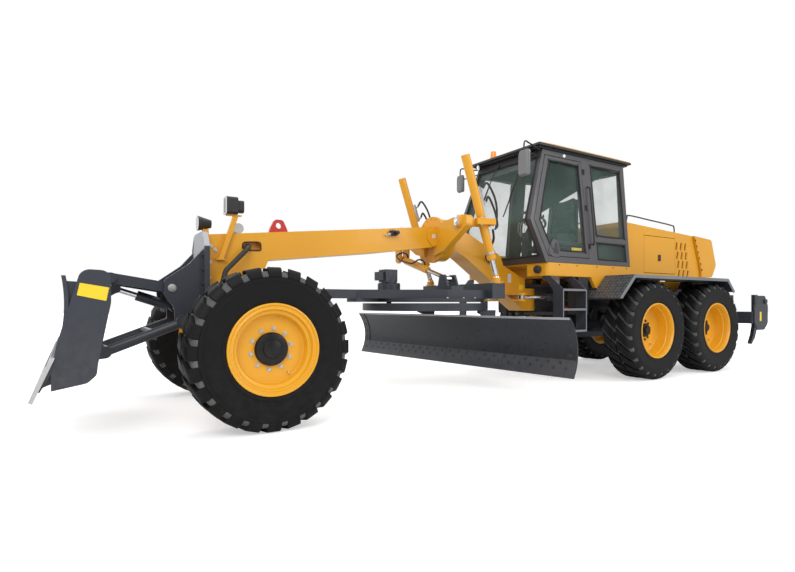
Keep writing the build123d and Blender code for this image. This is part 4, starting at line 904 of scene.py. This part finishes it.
dressed("cab_shell", cab_dark)
quarter_pane = [(-0.95, 1.98), (-0.95, 2.96), (-1.59, 2.96), (-1.57, 1.98)]
lower_pane = [(-0.95, 1.65), (-0.95, 1.88), (-1.56, 1.88), (-1.555, 1.65)]
door_pane = [(-0.05, 1.74), (0.13, 2.11), (-0.125, 2.92), (-0.69, 2.92), (-0.69, 1.74)]
pocket = [(-0.17, 1.64), (-0.05, 1.64), (0.015, 1.68), (0.02, 1.73), (-0.06, 1.86), (-0.11, 1.88),
          (-0.15, 1.86), (-0.19, 1.75)]
hand_slot = [(-0.15, 1.69), (-0.06, 1.7), (-0.11, 1.83), (-0.14, 1.83)]
door_plate = oblong((-0.66, 1.7), (-0.46, 1.79))
rail_bends = ((1.85, 0.0), (1.87, 0.035), (2.1, 0.045), (2.58, 0.045), (2.63, 0.035), (2.65, 0.0))
pin_profile = [(0, 0), (0.014, 0), (0.014, 0.07), (0, 0.07)]
for side_name, y_sign in both_sides:
    door = side_name + "_cab_door"
    dressed(door, cab_dark)
    for label, outline, body in (("_quarter_pane", quarter_pane, "rear_body"),
                                 ("_lower_pane", lower_pane, "rear_body"), ("_door_pane", door_pane, door)):
        cab_plate(side_name + label, body, glass, y_sign, outline, -0.026, -0.031)
        seal(side_name + label + "_seal", body, on_side(y_sign, outline, -0.002))
    cab_plate(side_name + "_latch_pocket", door, cab_dark, y_sign, pocket, 0.008, -0.02, bevel=0.004)
    cab_plate(side_name + "_latch_handle", door, black, y_sign, hand_slot, 0.014, 0.0, bevel=0.004)
    cab_plate(side_name + "_door_plate", door, yellow_plate, y_sign, door_plate, -0.033, -0.036)
    grab_rail = [(-0.845, y_sign * (cab_half(z) + out), z) for z, out in rail_bends]
    bent(side_name + "_grab_rail", "rear_body", black, grab_rail, 0.011)
    for z in (1.82, 2.35, 2.85):
        turning(side_name + "_door_hinge_" + str(round(z * 100)), "rear_body", black, pin_profile,
                (-0.785, y_sign * (cab_half(z) + 0.012), z - 0.035), upright, 16)
    sill = wall_spots((y_sign,), sill_half + 0.0005, [(x, 1.545) for x in (-0.16, -0.5, -0.9, -1.25, -1.55)])
    stamps(side_name + "_sill_screws", bolt, sill, 0.009, black, "rear_body")
screen_foot, screen_waist, screen_head = (0.7, 1.66), (0.66, waist_z), (0.58, 2.96)


def both_halves(corners):
    """Corners of (y, z) down one side, and the same corners back up the other side."""
    return corners + [(-y, z) for y, z in reversed(corners)]


rear_loop = both_halves([(0.64, 2.0), (0.56, 2.96)])
cross_pane("windscreen_lower", both_halves([screen_foot, screen_waist]), cab_front, -0.02, -0.026)
cross_pane("windscreen_upper", both_halves([screen_waist, screen_head]), cab_front, -0.02, -0.026)
seal("windscreen_seal", "rear_body",
     across_cab(both_halves([screen_foot, screen_waist, screen_head]), cab_front, 0.0), 0.013)
cross_pane("rear_pane", rear_loop, cab_rear, 0.025, 0.031)
seal("rear_pane_seal", "rear_body", across_cab(rear_loop, cab_rear, 0.0))


def wipers(form):
    for y in (0.28, -0.28):
        tube(form, [(0.02, y + 0.12, 2.99), (0.06, y + 0.1, 2.93), (0.19, y + 0.02, 2.55), (0.22, y, 2.44)],
             0.007)
        tube(form, [(0.115, y + 0.05, 2.75), (0.205, y, 2.46), (0.285, y - 0.05, 2.2)], 0.009, 6)
        turned(form, [(0, 0), (0.022, 0), (0.022, 0.04), (0, 0.04)], (0, y + 0.12, 2.985), ahead, 12)


shaped("wipers", wipers, "rear_body", black)

# ---------------------------------------------------------------- cab roof, lamps and mirrors
# A moulded yellow cap over a black head lining that carries work lamps; grey mirror cases hang from
# bent black arms at both front corners.
orange = paint("beacon_lens", (0.9, 0.28, 0.02), (0.8, 0.22, 0.015), 0.22, 0.05, 0.1, coat_weight=0.6)
mirror_grey = paint("mirror_case", (0.17, 0.17, 0.18), (0.13, 0.13, 0.14), 0.45, 0.1, 0.3)
roof_seam, beacon_foot = 3.118, 3.235
dressed("cab_roof", yellow, black, orange, cuts=(roof_seam, beacon_foot), bevel=0.012,
        pick=lambda place, normal: 2 if place.z > beacon_foot else 1 if place.z < roof_seam else 0)


def lamp_case(form, place, run, radius):
    turned(form, [(0, 0), (radius * 0.6, 0), (radius * 0.95, 0.02), (radius, 0.05), (radius * 0.92, 0.052),
                  (radius * 0.9, 0.046), (0, 0.046)], place, run, 28)


def lamp_glass(form, place, run, radius):
    turned(form, [(0, 0), (radius * 0.88, 0), (radius * 0.85, 0.004), (radius * 0.5, 0.01), (0, 0.012)],
           Vector(place) + Vector(run).normalized() * 0.044, run, 28)


work_lamps = [((x, y_sign * 0.5, 3.04), (lean, y_sign * aside, dip), 0.045)
              for x, lean, aside, dip in ((0.06, 1, 0.15, -0.2), (-1.73, -1, 0.1, -0.25))
              for y_sign in (1, -1)]
shaped("roof_lamp_cases", lambda form: [lamp_case(form, *spot) for spot in work_lamps], "rear_body", black)
shaped("roof_lamp_glass", lambda form: [lamp_glass(form, *spot) for spot in work_lamps], "rear_body", lens)
for side_name, y_sign in both_sides:
    step_lamp = ((0.058, y_sign * 0.65, 1.485), (1, y_sign * 0.3, 0), 0.052)
    shaped(side_name + "_step_lamp", lambda form: lamp_case(form, *step_lamp), "rear_body", black)
    shaped(side_name + "_step_lamp_glass", lambda form: lamp_glass(form, *step_lamp), "rear_body", black)
    turning(side_name + "_door_lamp", "rear_body", lens,
            [(0, 0), (0.026, 0), (0.026, 0.012), (0.015, 0.022), (0, 0.024)],
            (-0.42, y_sign * (cab_half(3.02) - 0.002), 3.02), (0, y_sign, 0), 20)
mirror_outline = [(-1, -0.82), (-0.82, -1), (0.82, -1), (1, -0.82), (1, 0.7), (0.7, 1), (-0.7, 1),
                  (-1, 0.7)]
for side_name, x, y, z, half_wide, half_tall in (("left", 0.46, 0.80, 2.77, 0.085, 0.16),
                                                 ("right", 0.1, -0.93, 2.88, 0.07, 0.13)):

    def mirror_loop(at_x, width=1.0, height=1.0):
        return [Vector((x + at_x, y + a * half_wide * width, z + b * half_tall * height))
                for a, b in mirror_outline]

    def mirror_case(form):
        joined_loops(form, mirror_loop(0.035, 0.8, 0.9), mirror_loop(0.005))
        joined_loops(form, mirror_loop(0.005), mirror_loop(-0.02))

    def mirror_arms(form):
        foot = math.copysign(0.62, y)
        between = (foot + y) / 2
        tube(form, [(0, foot, 3.04), (x * 0.6, between, 3.06), (x, y, z + half_tall + 0.09),
                    (x, y, z)], 0.01)
        tube(form, [(0.03, foot, 2.96), (x * 0.7, between, 2.94), (x + 0.01, y, z + 0.06)], 0.008)

    shaped(side_name + "_mirror_case", mirror_case, "rear_body", mirror_grey, bevel=0.006)
    shaped(side_name + "_mirror_glass", lambda form: box_form(
        form, (x - 0.024, y - half_wide * 0.85, z - half_tall * 0.8),
        (x - 0.0195, y + half_wide * 0.85, z + half_tall * 0.78)), "rear_body", chrome)
    shaped(side_name + "_mirror_arms", mirror_arms, "rear_body", black)

# ---------------------------------------------------------------- cab inside: platform, console and seat
# A pressed platform with side tanks under it; steering console with control levers, and a sprung seat
# whose two pads are foam in dark cloth, sewn across in channels.
# the platform's faces below 1.39 m and ahead of the fenders are black: partly dark tanks, partly painted
# shade under the cab
dressed("cab_floor", yellow, black,
        pick=lambda place, normal: 1 if place.z < 1.39 and place.x > -0.77 else 0)
dressed("steering_console seat_base", black)
lever_rows = [(y_sign, y_sign * (0.1 + 0.045 * i)) for y_sign in (1, -1) for i in range(4)]


def levers(form):
    for y_sign, y in lever_rows:
        tube(form, [(-0.4, y_sign * 0.04 + 0.3 * y, 2.0), (-0.43, y, 2.12), (-0.46, y, 2.26)], 0.005, 6)


def lever_knobs(form):
    for y_sign, y in lever_rows:
        turned(form, [(0, 0), (0.009, 0), (0.015, 0.02), (0.014, 0.04), (0, 0.048)], (-0.46, y, 2.25),
               (-0.1, 0, 1), 12)


shaped("control_levers", levers, "rear_body", zinc)
shaped("control_knobs", lever_knobs, "rear_body", black)

weave, weave_in = shader_group("cloth_weave", [
    ("Colour", "Color", (0.03, 0.03, 0.03, 1)), ("Thread", "Color", (0.07, 0.07, 0.08, 1)),
    ("Pitch", "Float", 1400.0), ("Base Roughness", "Float", 0.8)])
cloth_place = node(weave, "ShaderNodeTexCoord").outputs["Object"]
cloth_grid = node(weave, "ShaderNodeVectorMath", {0: cloth_place, "Scale": weave_in["Pitch"]},
                  operation="SCALE")
cloth_axes = node(weave, "ShaderNodeSeparateXYZ", {0: cloth_grid.outputs[0]}).outputs
warp, weft, pile = [worked(weave, "SINE", cloth_axes[axis]) for axis in "XYZ"]
lint = noise(weave, cloth_place, 60, 4)
group_result(weave, mixed(weave, lint, weave_in["Colour"], weave_in["Thread"]),
             worked(weave, "MULTIPLY_ADD", lint, 0.15, weave_in["Base Roughness"]),
             worked(weave, "MULTIPLY_ADD", pile, weft, worked(weave, "MULTIPLY", warp, weft)))
cloth = finish("seat_cloth", weave, {"Colour": (0.03, 0.032, 0.036, 1), "Thread": (0.075, 0.078, 0.085, 1),
                                     "Pitch": 1400.0, "Base Roughness": 0.8}, 0.0008)
swell, swell_frames, edge_gap, channel_half, channel_depth = 0.014, 20, 0.001, 0.012, 0.011


def sewn_pad(name, low, high, face_axis, channels):
    """A foam pad: blown up as cloth, then drawn in along its sewn channels."""
    low, high = Vector(low), Vector(high)
    middle, half = (low + high) / 2, (high - low) / 2
    form = bmesh.new()
    bmesh.ops.create_cube(form, size=2)
    for corner in form.verts:
        corner.co = middle + Vector([corner.co[i] * (half[i] - swell) for i in range(3)])
    bmesh.ops.bevel(form, geom=form.edges[:], offset=0.028, segments=3, affect="EDGES", profile=0.6)
    mesh = bpy.data.meshes.new(name)
    form.to_mesh(mesh)
    form.free()
    maker = bpy.data.objects.new(name + "_form", mesh)
    scene.collection.objects.link(maker)
    remesh = maker.modifiers.new("remesh", "REMESH")
    remesh.mode, remesh.voxel_size = "VOXEL", 0.008
    blown = maker.modifiers.new("cloth", "CLOTH")
    blown.settings.use_pressure = True
    blown.settings.uniform_pressure_force = 4
    blown.settings.effector_weights.gravity = 0
    blown.settings.quality = 5
    for frame_number in range(1, swell_frames + 1):
        scene.frame_set(frame_number)
    result = bpy.data.meshes.new_from_object(maker.evaluated_get(bpy.context.evaluated_depsgraph_get()))
    bpy.data.objects.remove(maker)
    scene.frame_set(1)
    run_axis = 2 if face_axis == 0 else 0
    for corner in result.vertices:
        place = corner.co
        for i in range(3):
            place[i] = min(max(place[i], low[i] + edge_gap), high[i] - edge_gap)
        if place[face_axis] > middle[face_axis]:
            for channel in channels:
                away = (place[run_axis] - channel) / channel_half
                place[face_axis] -= channel_depth * math.exp(-away * away)
        corner.co = place
    for face in result.polygons:
        face.use_smooth = True
    made = piece(name, result, "rear_body", cloth, stands_for=("seat_cushion",), slot="seat_cloth")
    finer = made.modifiers.new("finer", "SUBSURF")
    finer.levels = finer.render_levels = 1


sewn_pad("seat_pad", (-1.205, -0.24, 1.955), (-0.75, 0.24, 2.075), 2, (-1.08, -0.96, -0.84))
sewn_pad("back_pad", (-1.205, -0.235, 2.078), (-1.095, 0.235, 2.64), 0, (2.2, 2.32, 2.44, 2.56))

# ---------------------------------------------------------------- hood and rear body
# Pressed hood panels round the engine, with louvres pushed out of the side, a flat latch and a hand
# rail of bent bar; the radiator box behind is bolted on along a slanting seam and has a slatted grille.
# the rear frame is near black all over: partly a dark frame, partly painted shade under the cab
chassis_black_and_shade = paint("chassis_paint_and_shade", (0.014, 0.014, 0.016), (0.01, 0.01, 0.011), 0.5, 0.15, 0.5)
iron = paint("engine_iron", (0.05, 0.052, 0.055), (0.035, 0.036, 0.038), 0.6, 0.3, 1.0, metallic=0.3)
tail_red = paint("tail_lens", (0.45, 0.012, 0.01), (0.38, 0.01, 0.008), 0.2, 0.05, 0.05, coat_weight=0.7)
dressed("rear_frame", chassis_black_and_shade)
dressed("hood left_engine_door right_engine_door", yellow, bevel=0.006)
dressed("engine_block", iron)
# a louvre is a slanting pressed lip over a dark opening, drawn with Z outwards and X forwards
louvre = shape_object("louvre_shape", lambda form: prism(
    form, [(-0.018, 0), (0.022, 0.016), (0.022, -0.004), (-0.018, -0.004)], -0.06, 0.06))
louvre_gap = shape_object("louvre_gap_shape", lambda form: box_form(
    form, (0.0215, -0.057, -0.001), (0.036, 0.057, 0.0015)))
slat = shape_object("slat_shape", lambda form: prism(
    form, [(-0.012, 0.001), (0.009, 0.012), (0.012, 0.009), (-0.014, 0)], -0.5, 0.5, "cross"))
hood_half, tail_half = 0.56, 0.6
skirt = [(-2.63, 1.395), (-3.28, 1.395), (-3.12, 1.215), (-2.8, 1.215)]
hand_rail = [(-2.0, 2.2), (-2.03, 2.36), (-2.09, 2.4), (-2.6, 2.375), (-3.2, 2.34), (-3.29, 2.31),
             (-3.3, 2.18)]
louvre_places = [(-3.235 - 0.025 * row - 0.125 * column, 1.985 - 0.15 * row)
                 for row in range(4) for column in range(3)]
for side_name, y_sign in both_sides:
    out = (0, y_sign, 0)
    spots = [((x, y_sign * (hood_half + 0.001), z), out, (1, 0, 0.25)) for x, z in louvre_places]
    stamps(side_name + "_louvres", louvre, spots, 1.0, yellow, "rear_body")
    stamps(side_name + "_louvre_gaps", louvre_gap, spots, 1.0, black, "rear_body")
    seam_y = y_sign * (tail_half + 0.0005)
    seam = row_spots((-3.712, seam_y, 2.11), (-3.91, seam_y, 1.62), 6, out)
    stamps(side_name + "_seam_bolts", bolt, seam, 0.013, black, "rear_body")
    side_plate(side_name + "_hood_latch", side_name + "_engine_door", black,
               oblong((-2.765, 1.72), (-2.7, 1.82)), y_sign, hood_half, hood_half + 0.012, bevel=0.004)
    side_plate(side_name + "_rear_skirt", "rear_body", yellow, skirt, y_sign, tail_half - 0.015, tail_half,
               bevel=0.004)
    bent(side_name + "_hand_rail", "rear_body", black, [(x, y_sign * 0.47, z) for x, z in hand_rail], 0.011)
grille_top, grille_foot, slat_count = Vector((-4.228, 0, 2.125)), Vector((-4.372, 0, 1.72)), 13
grille_fall = grille_foot - grille_top
grille_out = Vector((grille_fall.z, 0, -grille_fall.x)).normalized()
grille_rows = [(grille_top + grille_fall * (i + 0.5) / slat_count, grille_out, across)
               for i in range(slat_count)]
stamps("grille_slats", slat, grille_rows, 1.0, black, "rear_body")
for side_name, y_sign in both_sides:
    low, high = (-4.358, y_sign * 0.55 - 0.09, 1.28), (-4.349, y_sign * 0.55 + 0.09, 1.36)
    shaped("tail_lamp_" + side_name, lambda form: box_form(form, low, high), "rear_body", tail_red,
           bevel=0.004)

# ---------------------------------------------------------------- fenders, steps and tandem cases
# Bent tread plate over each pair of rear wheels, its pattern of small raised bars rolled in; box
# ladders with bright worn step edges; welded tandem cases between the wheels.
tread_plate = paint("tread_plate_paint", (0.03, 0.034, 0.042), (0.05, 0.055, 0.062), 0.4, 0.4, 0.5)
edge_grey = paint("worn_edge", (0.2, 0.21, 0.23), (0.12, 0.125, 0.135), 0.4, 0.1, 0.4, metallic=0.3)
dressed("fenders", tread_plate)
dressed("access_ladders tandem_axle", dark)
tread_bar = shape_object("raised_bar_shape", lambda form: box_form(
    form, (-0.019, -0.0045, -0.001), (0.019, 0.0045, 0.0028)))
fender_line = [(-0.76, 1.118), (-1.07, 1.43), (-3.445, 1.43), (-3.642, 1.238)]
fender_inner = [(-0.806, 1.106), (-1.088, 1.385), (-3.427, 1.385), (-3.61, 1.207)]
bar_pitch, bar_rows, case_face = 0.052, 12, 0.77


def tread_spots(y_sign):
    """Bars on every bend of the fender, leaning one way and the other by turns."""
    spots = []
    for (x, z), (next_x, next_z) in zip(fender_line, fender_line[1:]):
        stretch = Vector((next_x - x, 0, next_z - z))
        run = stretch.normalized()
        for i in range(int(stretch.length / bar_pitch)):
            for j in range(bar_rows):
                place = Vector((x, y_sign * (0.665 + bar_pitch * j), z)) + run * (0.03 + bar_pitch * i)
                spots.append((place, (run.z, 0, -run.x), run + Vector((0, 1 if (i + j) % 2 else -1, 0))))
    return spots


for side_name, y_sign in both_sides:
    stamps(side_name + "_tread_bars", tread_bar, tread_spots(y_sign), 1.0, edge_grey, "rear_body")
    side_plate(side_name + "_fender_rim", "rear_body", edge_grey, fender_line + fender_inner[::-1], y_sign,
               1.262, 1.275, bevel=0.004)

    def step_edges(form):
        tread_low, tread_high = sorted((y_sign * 1.03, y_sign * 1.041))
        post_low, post_high = sorted((y_sign * 1.034, y_sign * 1.0415))
        for z in (0.712, 0.982, 1.227):
            box_form(form, (-0.384, tread_low, z - 0.024), (0.025, tread_high, z + 0.002))
        for x in (-0.4, 0.025):
            box_form(form, (x, post_low, 0.69), (x + 0.016, post_high, 1.22))

    shaped(side_name + "_step_edges", step_edges, "rear_body", edge_grey)
    lock_link = [(x, y_sign * y, 0.985) for x, y in ((-0.62, 0.34), (-0.8, 0.345), (-0.98, 0.34))]
    bent(side_name + "_lock_link", "rear_body", red, lock_link, 0.016)
    case_bolts = ring_spots((-2.38, y_sign * (case_face + 0.0005), wheel_z), (0, y_sign, 0), 0.13, 12)
    stamps(side_name + "_tandem_bolts", bolt, case_bolts, 0.016, dark, "rear_body")
dressed("left_steer_ram_barrel right_steer_ram_barrel", dark)
dressed("left_steer_ram_rod right_steer_ram_rod", chrome, bevel=0.002)

# ---------------------------------------------------------------- ripper
# A tube carriage with five shank pockets between flat end plates, welded and painted dark; one yellow
# cylinder with a plated rod lifts it, and each end plate carries a small blank label.
dressed("ripper_carriage", dark, bevel=0)
dressed("ripper_ram_barrel", yellow)
dressed("ripper_ram_rod", chrome, bevel=0.002)
end_plate_y = 1.085
for side_name, y_sign in both_sides:
    side_plate(side_name + "_ripper_label", "ripper_carriage", yellow_plate,
               oblong((-4.93, 0.74), (-4.87, 0.9)), y_sign, end_plate_y - 0.0005, end_plate_y + 0.0012)

for shape in small_shapes:
    bpy.data.objects.remove(shape)
